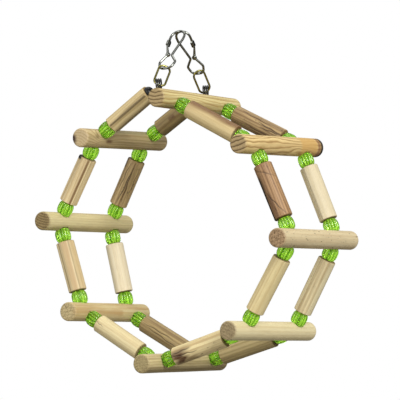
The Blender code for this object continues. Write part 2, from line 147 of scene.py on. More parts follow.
def rounded_path(corners: Array, radii: Array, closed: bool = False, step: float = 6.0) -> Array:
    """Round the corners of a polyline by arcs.

    At each corner the arc touches both sides at radius times tan(bend / 2) from the
    corner, about a centre that lies on the corner's bisector.

    Args:
        corners: The polyline, one point to a row.
        radii: Radius of the arc at each corner, 0 for a plain point.
        closed: Whether the last corner joins the first.
        step: Most degrees of arc between two points.

    Returns:
        The points of the rounded line.
    """
    count = len(corners)
    runs = []
    for i in range(count):
        if radii[i] == 0.0 or (not closed and i in (0, count - 1)):
            runs.append(corners[i][None, :])
            continue
        back = unit(corners[i - 1] - corners[i])
        ahead = unit(corners[(i + 1) % count] - corners[i])
        bend = math.pi - math.acos(float(np.clip(back @ ahead, -1.0, 1.0)))
        centre = corners[i] + unit(back + ahead) * radii[i] / math.cos(bend / 2)
        first = corners[i] + back * radii[i] * math.tan(bend / 2) - centre
        last = corners[i] + ahead * radii[i] * math.tan(bend / 2) - centre
        pieces = max(2, math.ceil(math.degrees(bend) / step))
        share = np.linspace(0.0, 1.0, pieces + 1)[:, None] * bend
        runs.append(centre + (np.sin(bend - share) * first + np.sin(share) * last) / math.sin(bend))
    return np.concatenate(runs)


def spaced(path: Array, spacing: float) -> Array:
    """Add points to the long straight stretches of a path.

    The path's own points stay, and others are put between them by linear
    interpolation over the length along the path.

    Args:
        path: Points of the path.
        spacing: Distance along the path between the added points.

    Returns:
        The path with the added points.
    """
    lengths = np.concatenate([[0.0], np.cumsum(np.linalg.norm(np.diff(path, axis=0), axis=1))])
    places = np.unique(np.concatenate([lengths, np.arange(spacing, lengths[-1], spacing)]))
    keep = np.concatenate([[True], np.diff(places) > spacing * 0.02])
    return np.stack([np.interp(places[keep], lengths, path[:, k]) for k in range(3)], axis=1)


def add_object(name: str, data: bpy.types.ID) -> bpy.types.Object:
    """Put a new object into the scene.

    Args:
        name: Name of the object.
        data: Its mesh, lamp or camera.

    Returns:
        The object.
    """
    item = bpy.data.objects.new(name, data)
    bpy.context.scene.collection.objects.link(item)
    return item


@dataclass
class Surface:
    """A closed surface on a grid of points, with values that its material reads.

    Attributes:
        name: Name of the piece.
        grid: Points as rows, columns and coordinates.
        loop_rows: Whether the last row joins the first.
        values: Named values, one to a grid point, either numbers or vectors.
        sharp: Degrees between faces past which an edge is sharp.
    """

    name: str
    grid: Array
    loop_rows: bool = False
    values: dict[str, Array] = field(default_factory=dict)
    sharp: float = 38.0

    def _faces(self) -> list[list[int]]:
        """Number the quads of the grid and the fans that close its two ends.

        Returns:
            The corners of each face.
        """
        rows, columns = self.grid.shape[:2]
        index = np.arange(rows * columns).reshape(rows, columns)
        right = np.roll(index, -1, axis=1)
        if self.loop_rows:
            below, corner = np.roll(index, -1, axis=0), np.roll(right, -1, axis=0)
            quads = np.stack([index, right, corner, below], axis=-1)
        else:
            quads = np.stack([index[:-1], right[:-1], right[1:], index[1:]], axis=-1)
        faces = quads.reshape(-1, 4).tolist()
        if not self.loop_rows:
            poles = np.array([rows * columns, rows * columns + 1])
            first = np.stack([index[0], np.full(columns, poles[0]), right[0]], axis=-1)
            last = np.stack([right[-1], np.full(columns, poles[1]), index[-1]], axis=-1)
            faces += first.tolist() + last.tolist()
        return faces

    def _with_poles(self, values: Array) -> Array:
        """List the grid's values, and after them the mean of each end row where the ends are closed.

        Args:
            values: Values of the grid's points.

        Returns:
            The values, one row to each point of the mesh.
        """
        flat = values.reshape(self.grid.shape[0] * self.grid.shape[1], -1)
        if self.loop_rows:
            return flat
        ends = values.reshape(*self.grid.shape[:2], -1)[[0, -1]].mean(axis=1)
        return np.concatenate([flat, ends])

    def _volume(self, points: Array) -> float:
        """Sum the signed volumes between the quads' halves and the middle.

        Each half gives its first corner times the cross product of the other two.

        Args:
            points: Points of the mesh.

        Returns:
            Six times the volume, below 0 where the faces point inwards.
        """
        rows = self.grid if not self.loop_rows else np.concatenate([self.grid, self.grid[:1]])
        centre = points.mean(axis=0)
        a, c = rows[:-1] - centre, rows[1:] - centre
        b, d = np.roll(a, -1, axis=1), np.roll(c, -1, axis=1)
        halves = np.einsum("ijk,ijk->ij", a, np.cross(b, d)) + np.einsum("ijk,ijk->ij", a, np.cross(d, c))
        return float(halves.sum())

    def build(
        self, material: bpy.types.Material, body: str, slot: str, nodes: tuple[str, ...]
    ) -> bpy.types.Object:
        """Make the piece, dress it and let it stand for its nodes.

        Args:
            material: Finish of the piece.
            body: Body of the frame that it moves with.
            slot: Slot of the record that holds its finish; not used.
            nodes: Nodes of the frame that it stands for.

        Returns:
            The new object.
        """
        points = self._with_poles(self.grid)
        faces = self._faces()
        if self._volume(points) < 0:
            faces = [face[::-1] for face in faces]
        mesh = bpy.data.meshes.new(self.name)
        mesh.from_pydata(points.tolist(), [], faces)
        for label, values in self.values.items():
            listed = self._with_poles(values)
            kind = "FLOAT_VECTOR" if listed.shape[1] == 3 else "FLOAT"
            store = mesh.attributes.new(label, kind, "POINT")
            held = "vector" if kind == "FLOAT_VECTOR" else "value"
            store.data.foreach_set(held, listed.ravel().astype(np.float32))
        mesh.shade_smooth()
        mesh.set_sharp_from_angle(angle=math.radians(self.sharp))
        mesh.materials.append(material)
        piece = add_object(self.name, mesh)
        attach(piece, body)
        if nodes:
            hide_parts(*nodes)
        log.info("%s: %d faces on %s", self.name, len(faces), body)
        return piece


def tube(path: Array, radius: float, reference: Array, closed: bool = False, columns: int = 16) -> Array:
    """Carry a circle along a path.

    At each point the circle lies across the path's direction, and its first axis is
    the direction crossed with a reference vector.

    Args:
        path: Centre line.
        radius: Radius of the circle.
        reference: One vector, or one to each point, never along the path.
        closed: Whether the path joins itself.
        columns: Points round the circle.

    Returns:
        The grid of points, one row to each point of the path.
    """
    if closed:
        direction = unit(np.roll(path, -1, axis=0) - np.roll(path, 1, axis=0))
    else:
        direction = unit(np.gradient(path, axis=0))
    side = unit(np.cross(direction, np.broadcast_to(reference, path.shape)))
    up = np.cross(side, direction)
    angle = full_turn(columns)[None, :, None]
    return path[:, None, :] + radius * (np.cos(angle) * side[:, None, :] + np.sin(angle) * up[:, None, :])


def waves(angle: Array, place: Array, seed: int, terms: int = 9) -> Array:
    """A smooth irregular height from a sum of sines round and along a dowel.

    Each term is sin(n * angle + k * place + phase) over n, with whole numbers n so
    that it closes on itself.

    Args:
        angle: Angle round the dowel in radians.
        place: Distance along the dowel in metres.
        seed: Number that fixes the terms.
        terms: How many sines are added.

    Returns:
        Values from about -1 to 1.
    """
    chance = np.random.default_rng(seed)
    total = np.zeros(np.broadcast(angle, place).shape)
    for n in range(1, terms + 1):
        phase, pitch = chance.uniform(0, math.tau), chance.uniform(-90, 90)
        total += np.sin(n * angle + pitch * place + phase) / n
    return total / 2.0


@dataclass(frozen=True)
class Flat:
    """A long flat or hollow along a dowel: its angle round it in degrees and its depth in mm."""

    angle: float
    depth: float


@dataclass(frozen=True)
class Stain:
    """A darker patch on a dowel: real staining, or painted shade on a side that lies in shade.

    Attributes:
        angle: Its middle round the dowel in degrees.
        width: Its half width in degrees.
        start: Where it starts along the dowel, as a share of the length.
        end: Where it ends.
        strength: How strong it is, up to 1.
        colour: Its colour as seen on a screen.
        ragged: How far its ends wander along the dowel, as a share of the length.
    """

    angle: float
    width: float
    start: float
    end: float
    strength: float = 1.0
    colour: Colour = (62, 42, 26)
    ragged: float = 0.0


@dataclass(frozen=True)
class Knot:
    """A place round which the rings of a dowel swirl.

    Attributes:
        angle: Its place round the dowel in degrees.
        start: Its place along the dowel, as a share of the length.
        width: Half its width in mm.
        reach: Half its length along the dowel in mm.
        rings: How many rings it adds.
    """

    angle: float
    start: float
    width: float
    reach: float
    rings: float


@dataclass(frozen=True)
class Crack:
    """A narrow open split along a dowel.

    Attributes:
        angle: Where it starts round the dowel in degrees.
        lean: Degrees that it moves round the dowel by its end.
        start: Where it starts along the dowel, as a share of the length.
        end: Where it ends.
        width: Half its width in mm.
    """

    angle: float
    lean: float
    start: float
    end: float
    width: float = 0.25


@dataclass(frozen=True)
class WoodFinish:
    """One dowel's own piece of wood.

    Attributes:
        pale: Colour of the wood between its rings, as seen on a screen.
        ring: Colour of the rings.
        streak: Colour of the long streaks.
        end: Colour of the end grain.
        rings: How strongly the rings show.
        ring_width: Distance between the rings in mm.
        heart: Where the tree's heart lies from the dowel's middle in mm.
        wander: How far the rings wander in mm.
        streaks: How strongly the streaks show.
        flecks: How strongly short dark flecks show.
        end_rings: How strongly the rings show on the ends.
        end_flecks: How strongly the pores show on the ends.
        flow: How quickly the rings wander along the dowel.
        end_depth: Lightness of the dark lines on the ends, as a share of the end's own.
        flats: Flats along it.
        stains_and_shade: Darker patches, of real staining and of painted shade.
        cracks: Splits.
        knots: Knots.
    """

    pale: Colour
    ring: Colour
    streak: Colour = (150, 118, 72)
    end: Colour = (176, 152, 112)
    rings: float = 0.5
    ring_width: float = 2.6
    heart: tuple[float, float] = (6.0, -22.0)
    wander: float = 1.6
    streaks: float = 0.35
    flecks: float = 0.05
    end_rings: float = 0.3
    end_flecks: float = 0.6
    flow: float = 0.10
    end_depth: float = 0.5
    flats: tuple[Flat, ...] = ()
    stains_and_shade: tuple[Stain, ...] = ()
    cracks: tuple[Crack, ...] = ()
    knots: tuple[Knot, ...] = ()


class Graph:
    """A node tree with short calls for the nodes that the finishes use."""

    def __init__(self, tree: bpy.types.NodeTree) -> None:
        """Keep the tree that the nodes go into."""
        self.tree = tree

    def node(self, kind: str, **settings: object) -> bpy.types.Node:
        """Add a node and set its own settings.

        Args:
            kind: Kind of the node.
            settings: Names and values of its settings.

        Returns:
            The node.
        """
        made = self.tree.nodes.new(kind)
        for name, value in settings.items():
            setattr(made, name, value)
        return made

    def put(self, socket: bpy.types.NodeSocket, value: object) -> None:
        """Link a socket to another node's output, or set its value.

        Args:
            socket: The socket.
            value: Another node's output, or a plain value.
        """
        if isinstance(value, bpy.types.NodeSocket):
            self.tree.links.new(value, socket)
        else:
            socket.default_value = value

    def maths(
        self, operation: str, first: object, second: object = 0.0, clamp: bool = False
    ) -> bpy.types.NodeSocket:
        """One step of arithmetic on two values.

        Args:
            operation: Name of the step.
            first: A socket or a number.
            second: A socket or a number.
            clamp: Whether the result is kept between 0 and 1.

        Returns:
            The socket of the result.
        """
        made = self.node("ShaderNodeMath", operation=operation, use_clamp=clamp)
        self.put(made.inputs[0], first)
        self.put(made.inputs[1], second)
        return made.outputs[0]

    def line(self, value: object, slope: float, base: float) -> bpy.types.NodeSocket:
        """Multiply a value by a slope and add a base."""
        return self.maths("ADD", self.maths("MULTIPLY", value, slope), base)

    def vector(self, operation: str, first: object, second: object = (0.0, 0.0, 0.0)) -> bpy.types.Node:
        """One step of arithmetic on two vectors.

        Args:
            operation: Name of the step.
            first: A socket or a vector.
            second: A socket or a vector.

        Returns:
            The whole node.
        """
        made = self.node("ShaderNodeVectorMath", operation=operation)
        self.put(made.inputs[0], first)
        self.put(made.inputs[1], second)
        return made

    def mix(
        self, amount: object, first: object, second: object, blend: str = "MIX"
    ) -> bpy.types.NodeSocket:
        """Mix two colours.

        Args:
            amount: Share of the second colour, a socket or a number.
            first: First colour.
            second: Second colour.
            blend: Way of mixing.

        Returns:
            The socket of the mixed colour.
        """
        made = self.node("ShaderNodeMix", data_type="RGBA", blend_type=blend)
        self.put(made.inputs[0], amount)
        self.put(made.inputs[6], first)
        self.put(made.inputs[7], second)
        return made.outputs[2]

    def noise(self, place: object, scale: float, detail: float = 2.0, rough: float = 0.5) -> bpy.types.Node:
        """A noise pattern.

        Args:
            place: Socket of the place at which it is read.
            scale: How close its waves lie.
            detail: How many finer waves are added.
            rough: How strong they are.

        Returns:
            The whole node.
        """
        made = self.node("ShaderNodeTexNoise")
        self.put(made.inputs["Vector"], place)
        made.inputs["Scale"].default_value = scale
        made.inputs["Detail"].default_value = detail
        made.inputs["Roughness"].default_value = rough
        return made

    def dent(self, shader: bpy.types.Node, height: object, strength: float, distance: float) -> None:
        """Give a shader fine dents.

        Args:
            shader: The shader.
            height: Socket of the height.
            strength: How strongly they show.
            distance: Depth in metres of a height of 1.
        """
        bump = self.node("ShaderNodeBump")
        bump.inputs["Strength"].default_value = strength
        bump.inputs["Distance"].default_value = distance
        self.put(bump.inputs["Height"], height)
        self.put(shader.inputs["Normal"], bump.outputs["Normal"])

    def ramp(self, value: object, stops: tuple[tuple[float, float], ...]) -> bpy.types.NodeSocket:
        """Bend a value by a curve of straight stretches.

        Args:
            value: Socket of the value, from 0 to 1.
            stops: Pairs of value and result.

        Returns:
            The socket of the result.
        """
        made = self.node("ShaderNodeValToRGB")
        points = made.color_ramp.elements
        while len(points) < len(stops):
            points.new(0.5)
        for point, (place, height) in zip(points, stops):
            point.position = place
            point.color = (height, height, height, 1.0)
        self.put(made.inputs[0], value)
        return made.outputs[0]


def start_material(name: str) -> tuple[bpy.types.Material, Graph, bpy.types.Node]:
    """Start a material that uses nodes.

    Args:
        name: Name of the material.

    Returns:
        The material, its graph and its Principled shader.
    """
    material = bpy.data.materials.new(name)
    material.use_nodes = True
    return material, Graph(material.node_tree), material.node_tree.nodes["Principled BSDF"]


def make_group(
    name: str, inputs: Sockets, outputs: Sockets
) -> tuple[bpy.types.NodeTree, Graph, bpy.types.Node, bpy.types.Node]:
    """Start a shader node group with named sockets.

    Args:
        name: Name of the group.
        inputs: Names and socket kinds of the inputs.
        outputs: Names and socket kinds of the outputs.

    Returns:
        The tree, its graph, the input node and the output node.
    """
    tree = bpy.data.node_groups.new(name, "ShaderNodeTree")
    for label, kind in inputs:
        tree.interface.new_socket(name=label, in_out="INPUT", socket_type=kind)
    for label, kind in outputs:
        tree.interface.new_socket(name=label, in_out="OUTPUT", socket_type=kind)
    graph = Graph(tree)
    return tree, graph, graph.node("NodeGroupInput"), graph.node("NodeGroupOutput")


def build_wood_figure() -> bpy.types.NodeTree:
    """Make the group that works out the figure of a solid piece of wood.

    The rings are shells about the tree's heart: the distance from the heart over the
    ring width plus the swell at knots, less its whole part, with the distance shifted
    by a slow noise.  Streaks, fibres and flecks are noises drawn out along the dowel.

    Returns:
        The node group.
    """
    floats, vectors = "NodeSocketFloat", "NodeSocketVector"
    tree, g, start, end = make_group(
        "wood_figure",
        (
            ("Place", vectors), ("Shift", vectors), ("Heart", vectors), ("Ring Width", floats),
            ("Wander", floats), ("Flow", floats), ("Swell", floats),
        ),
        (("Ring", floats), ("Streak", floats), ("Fibre", floats), ("Fleck", floats), ("Pore", floats)),
    )
    place = start.outputs["Place"]
    own = g.vector("ADD", place, start.outputs["Shift"]).outputs[0]
    pace = g.node("ShaderNodeCombineXYZ")
    for socket, value in zip(pace.inputs, (1.0, 1.0, start.outputs["Flow"])):
        g.put(socket, value)
    slow = g.vector("MULTIPLY", own, pace.outputs[0]).outputs[0]
    long = g.vector("MULTIPLY", own, (1.0, 1.0, 0.035)).outputs[0]
    wave = g.noise(slow, scale=0.07).outputs["Color"]
    drift = g.vector("SUBTRACT", wave, (0.5, 0.5, 0.5)).outputs[0]
    scaled = g.node("ShaderNodeVectorMath", operation="SCALE")
    g.put(scaled.inputs[0], drift)
    g.put(scaled.inputs[3], start.outputs["Wander"])
    moved = g.vector("ADD", g.vector("SUBTRACT", place, start.outputs["Heart"]).outputs[0], scaled.outputs[0])
    flat = g.vector("MULTIPLY", moved.outputs[0], (1.0, 1.0, 0.0)).outputs[0]
    reach = g.vector("LENGTH", flat).outputs["Value"]
    count = g.maths("ADD", g.maths("DIVIDE", reach, start.outputs["Ring Width"]), start.outputs["Swell"])
    rise = ((0.0, 0.15), (0.12, 0.0), (0.5, 0.15), (0.8, 0.95), (0.92, 1.0), (1.0, 0.15))
    ring = g.ramp(g.maths("FRACT", count), rise)
    streak = g.ramp(g.noise(long, scale=0.28, detail=3.0).outputs["Fac"], ((0.42, 0.0), (0.62, 1.0)))
    fibre = g.noise(long, scale=2.8, detail=3.0, rough=0.65).outputs["Fac"]
    fleck_place = g.vector("MULTIPLY", own, (1.0, 1.0, 0.30)).outputs[0]
    specks = g.noise(fleck_place, scale=0.55, detail=3.0, rough=0.6).outputs["Fac"]
    fleck = g.ramp(specks, ((0.64, 0.0), (0.72, 1.0)))
    pore = g.ramp(g.noise(own, scale=1.3, rough=0.6).outputs["Fac"], ((0.47, 0.0), (0.62, 1.0)))
    for socket, value in zip(end.inputs, (ring, streak, fibre, fleck, pore)):
        g.put(socket, value)
    return tree


class WoodShop:
    """Makes the finish of each dowel from one shared figure."""

    def __init__(self) -> None:
        """Build the shared group."""
        self.figure = build_wood_figure()

    def finish(self, name: str, wood: WoodFinish, seed: int) -> bpy.types.Material:
        """Make one dowel's material.

        The side is the pale wood, with rings, streaks and flecks laid over it.  The
        ends show the rings from above and the open pores.  Staining, painted shade
        and cracks come from the piece's own values.

        Args:
            name: Name of the dowel.
            wood: Its finish.
            seed: Number that shifts the pattern.

        Returns:
            The material.
        """
        material, g, shader = start_material(f"{name}_wood")
        figure = g.node("ShaderNodeGroup", node_tree=self.figure)
        g.put(figure.inputs["Place"], self._read(g, "grain").outputs["Vector"])
        settings = {
            "Shift": (seed * 37.0, seed * 19.0, seed * 71.0),
            "Heart": (*wood.heart, 0.0),
            "Ring Width": wood.ring_width,
            "Wander": wood.wander,
            "Flow": wood.flow,
        }
        for label, value in settings.items():
            g.put(figure.inputs[label], value)
        g.put(figure.inputs["Swell"], self._read(g, "swell").outputs["Fac"])
        ring, streak, fibre, fleck, pore = (figure.outputs[i] for i in range(5))
        side = g.mix(g.maths("MULTIPLY", ring, wood.rings), linear(wood.pale), linear(wood.ring))
        side = g.mix(g.maths("MULTIPLY", streak, wood.streaks), side, linear(wood.streak))
        grey = g.line(fibre, FIBRE_RANGE, FIBRE_LOW)
        tint = g.node("ShaderNodeCombineColor")
        for socket in tint.inputs:
            g.put(socket, grey)
        side = g.mix(1.0, side, tint.outputs[0], "MULTIPLY")
        dark = tuple(FLECK_SHADE * value for value in wood.streak)
        side = g.mix(g.maths("MULTIPLY", fleck, wood.flecks), side, linear(dark))
        low = tuple(wood.end_depth * part * value for part, value in zip(END_TINT, wood.end))
        face = g.mix(g.maths("MULTIPLY", ring, wood.end_rings), linear(wood.end), linear(low))
        face = g.mix(g.maths("MULTIPLY", pore, wood.end_flecks), face, linear(low))
        colour = g.mix(self._read(g, "cut").outputs["Fac"], side, face)
        # darker patches mixed over the wood in their own colour: real staining, and painted shade on the
        # shaded sides of some pieces
        stain = g.maths("MULTIPLY", self._read(g, "stain").outputs["Fac"], g.maths("ADD", fibre, 0.5), True)
        colour = g.mix(stain, colour, self._read(g, "stain_hue").outputs["Color"])
        colour = g.mix(self._read(g, "crack").outputs["Fac"], colour, linear(CRACK_COLOUR))
        g.put(shader.inputs["Base Color"], colour)
        g.put(shader.inputs["Roughness"], g.line(fibre, slope=0.25, base=0.42))
        height = g.maths("SUBTRACT", fibre, g.maths("MULTIPLY", pore, self._read(g, "cut").outputs["Fac"]))
        height = g.maths("SUBTRACT", height, g.maths("MULTIPLY", fleck, wood.flecks))
        g.dent(shader, height, strength=0.35, distance=0.00035)
        return material

    @staticmethod
    def _read(g: Graph, label: str) -> bpy.types.Node:
        """Read one of the piece's own values."""
        return g.node("ShaderNodeAttribute", attribute_name=label)


@dataclass(frozen=True)
class MetalFinish:
    """Wire of bare metal.

    Attributes:
        colour: Its colour as seen on a screen.
        roughness: Its least roughness.
        film: How much dull film lies on it.
    """

    colour: Colour
    roughness: float
    film: float

    def make(self, name: str) -> bpy.types.Material:
        """Make the material: metal whose tone and roughness vary with the film, a fine noise.

        Args:
            name: Name of the material.

        Returns:
            The material.
        """
        material, g, shader = start_material(name)
        place = g.node("ShaderNodeTexCoord").outputs["Object"]
        patch = g.noise(place, CLOUD_SCALE, detail=3.0, rough=0.6).outputs["Fac"]
        film = g.maths("MULTIPLY", g.ramp(patch, ((0.45, 0.0), (0.70, 1.0))), self.film)
        dull = tuple(DULL_SHADE * value for value in self.colour)
        g.put(shader.inputs["Base Color"], g.mix(film, linear(self.colour), linear(dull)))
        shader.inputs["Metallic"].default_value = 1.0
        g.put(shader.inputs["Roughness"], g.line(film, slope=0.35, base=self.roughness))
        g.dent(shader, patch, strength=0.12, distance=0.0001)
        return material


@dataclass(frozen=True)
class PlasticFinish:
    """Moulded plastic.

    Attributes:
        colour: Colour as seen on a screen.
        deep: Colour where the plastic is cloudy, and the painted shade in the grooves.
        clear: Share of light that passes through.
        roughness: Least roughness.
    """

    colour: Colour
    deep: Colour
    clear: float
    roughness: float

    def make(self, name: str) -> bpy.types.Material:
        """Make the material: two tones that cloud into each other under a gloss with slight flow marks.

        Args:
            name: Name of the material.

        Returns:
            The material.
        """
        material, g, shader = start_material(name)
        place = g.node("ShaderNodeTexCoord").outputs["Object"]
        cloud = g.ramp(g.noise(place, CLOUD_SCALE).outputs["Fac"], ((0.46, 0.0), (0.6, 1.0)))
        # painted shade in the grooves: the groove value darkens the plastic towards the deeper tone
        groove = g.node("ShaderNodeAttribute", attribute_name="groove").outputs["Fac"]
        depth = g.maths("MAXIMUM", g.maths("MULTIPLY", cloud, 0.55), groove)
        g.put(shader.inputs["Base Color"], g.mix(depth, linear(self.colour), linear(self.deep)))
        g.put(shader.inputs["Roughness"], g.line(cloud, slope=0.06, base=self.roughness))
        shader.inputs["Transmission Weight"].default_value = self.clear
        shader.inputs["IOR"].default_value = PLASTIC_INDEX
        flow = g.noise(place, scale=700.0, detail=1.0).outputs["Fac"]
        g.dent(shader, flow, strength=0.10, distance=0.0002)
        return material


@dataclass
class Dowel:
    """A round wooden rod with its own frame: an origin, a direction and a first side axis.

    Attributes:
        name: Name of the piece.
        origin: Point on the axis where it starts.
        axis: Direction along it.
        across: Direction of angle 0 round it.
        length: Its length.
        radius: Its radius.
        wood: Its finish.
        seed: Number that fixes its irregularities.
    """

    name: str
    origin: Array
    axis: Array
    across: Array
    length: float
    radius: float
    wood: WoodFinish
    seed: int

    def shaped(self, angle: Array, along: Array, radius: Array) -> Array:
        """Lower a radius where the dowel is uneven.

        Each flat limits the radius to (R - depth) / cos(angle from its middle), and the
        whole surface dips by a slow irregular wave.

        Args:
            angle: Angle round the dowel in radians.
            along: Distance along it.
            radius: The round dowel's radius there.

        Returns:
            The uneven radius.
        """
        shape = radius - UNEVEN * (1.0 + waves(angle, along, self.seed))
        for flat in self.wood.flats:
            off = angle - math.radians(flat.angle)
            limit = (self.radius - flat.depth * MM) / np.maximum(np.cos(off), FACING)
            shape = np.where(np.cos(off) > FACING, np.minimum(shape, limit), shape)
        return shape

    def marks(self, angle: Array, along: Array, radius: Array) -> dict[str, Array]:
        """Work out the darker patches of staining and painted shade, the cracks and the swell at knots.

        A darker patch falls off as a bell round the dowel and softly past its ends, which
        may wander along it, and on a sawn end it fades towards the middle.  Where two
        meet, the stronger gives the colour.  A crack is a narrow bell about a line that
        leans and wavers, and a knot's swell is a bell round and along it.

        Args:
            angle: Angle round the dowel in radians.
            along: Distance along it.
            radius: Distance from its axis.

        Returns:
            The strength and colour of the darker patches, the strength of the cracks and the swell.
        """
        share = along / self.length
        stain = np.zeros(np.broadcast(angle, along).shape)
        crack, swell, hue = np.zeros_like(stain), np.zeros_like(stain), np.zeros((*stain.shape, 3))
        rim = np.clip(radius / self.radius * RIM_RISE - RIM_BASE, 0.0, 1.0)
        for patch in self.wood.stains_and_shade:
            off = turn_from(angle, math.radians(patch.angle)) / math.radians(patch.width)
            reach = share + patch.ragged * waves(angle * 2.0, along, self.seed + 9)
            soft = STAIN_AND_SHADE_EDGE + patch.ragged
            begun = np.clip((reach - patch.start) / soft + 0.5, 0, 1)
            ends = begun * np.clip((patch.end - reach) / soft + 0.5, 0, 1)
            ragged = 1.0 + 0.25 * waves(angle, along * 3.0, self.seed + 5)
            laid = patch.strength * np.exp(-((off * ragged) ** 4)) * ends * rim
            taken = (laid > stain) | (hue.sum(axis=-1) == 0.0)
            hue = np.where(taken[..., None], linear(patch.colour)[:3], hue)
            stain = np.maximum(stain, laid)
        for split in self.wood.cracks:
            part = np.clip((share - split.start) / (split.end - split.start), 0.0, 1.0)
            waver = CRACK_WAVER * np.sin(CRACK_WAVES * part + self.seed)
            line = math.radians(split.angle) + math.radians(split.lean) * part + waver
            off = turn_from(angle, line) * self.radius / (split.width * MM)
            inside = (share > split.start) & (share < split.end)
            taper = np.sqrt(np.sin(part * math.pi * 0.96 + 0.06).clip(0))
            crack = np.maximum(crack, np.exp(-(off**2)) * inside * taper)
        for knot in self.wood.knots:
            off = turn_from(angle, math.radians(knot.angle)) * self.radius / (knot.width * MM)
            step = (along - knot.start * self.length) / (knot.reach * MM)
            swell += knot.rings * np.exp(-(off**2) - step**2)
        return {"stain": stain, "stain_hue": hue, "crack": crack, "swell": swell}

    def placed(self, angle: Array, along: Array, radius: Array) -> Array:
        """Turn angles round the dowel, distances along it and radii into points of the frame."""
        ring = around(angle, self.axis, self.across)
        return self.origin + ring * radius[..., None] + along[..., None] * self.axis

    def surface(self, angle: Array, along: Array, radius: Array, cut: Array, loop: bool) -> Surface:
        """Make the surface of the dowel with the values that its finish reads.

        Args:
            angle: Angle of each grid point.
            along: Distance of each grid point along the dowel.
            radius: Radius of each grid point.
            cut: 1 on the sawn ends, 0 on the side.
            loop: Whether the rows close on themselves through a bore.

        Returns:
            The surface.
        """
        marks = self.marks(angle, along, radius)
        radius = radius - CRACK_DEPTH * marks["crack"] * (cut < 0.5)
        grid = self.placed(angle, along, radius)
        grain = np.stack([radius * np.cos(angle), radius * np.sin(angle), along], axis=-1) / MM
        values = {"grain": grain, "cut": cut, **marks}
        return Surface(self.name, grid, loop, values)


@dataclass
class WheelLayout:
    """Places of the perches round the wheel and of the runs between them.

    Attributes:
        radius: Distance from the wheel's centre to the perches' axes.
        places: Name, bearing in degrees and reach beyond the radius of each perch, and the
            degrees by which its rear end lies off to +X and up.
        coil_side: Distance from the top perch's axis to the middle of a coil, towards -X.
        coil_rise: Height of the coil's middle over that axis.
    """

    radius: float = 0.1225
    places: tuple[tuple[str, float, float, float, float], ...] = (
        ("top", 85.5, -0.0005, 0.0, 0.0),
        ("upper_right", 37.9, -0.0021, 1.3, 1.3),
        ("right", -6.6, 0.0073, 0.2, 0.2),
        ("lower_right", -51.5, 0.002, 2.4, -1.0),
        ("bottom", -98.1, 0.002, 0.3, -0.3),
        ("lower_left", -143.9, -0.0002, -2.7, -0.7),
        ("left", -187.6, -0.0029, 1.1, 0.1),
        ("upper_left", -231.4, -0.0036, -0.1, 1.5),
    )
    coil_side: float = 0.0136
    coil_rise: float = 0.0148

    def corners(self, offset: float) -> Array:
        """Work out where the perches' axes are.

        Args:
            offset: Distance along Y from the wheel's middle plane.

        Returns:
            The places in the frame, one to a row.
        """
        table = np.array([place[1:] for place in self.places])
        bearing, reach = np.radians(table[:, 0]), self.radius + table[:, 1]
        middle = np.stack([reach * np.cos(bearing), np.zeros(len(reach)), reach * np.sin(bearing)], axis=1)
        side, rise = np.tan(np.radians(table[:, 2])), np.tan(np.radians(table[:, 3]))
        return WHEEL_CENTRE + middle + offset * np.stack([side, np.ones(len(side)), rise], axis=1)

    def coil(self, offset: float) -> Array:
        """Work out where the middle of a hoop's coil is."""
        return self.corners(0.0)[0] + np.array((-self.coil_side, offset, self.coil_rise))

    def ends(self, offset: float) -> Array:
        """Work out where each run of a hoop ends: at the next perch, or the last one at the coil."""
        return np.concatenate([self.corners(offset)[1:], self.coil(offset)[None, :]])

    def runs(self, offset: float) -> Array:
        """Work out the direction of each run of a hoop."""
        return unit(self.ends(offset) - self.corners(offset))


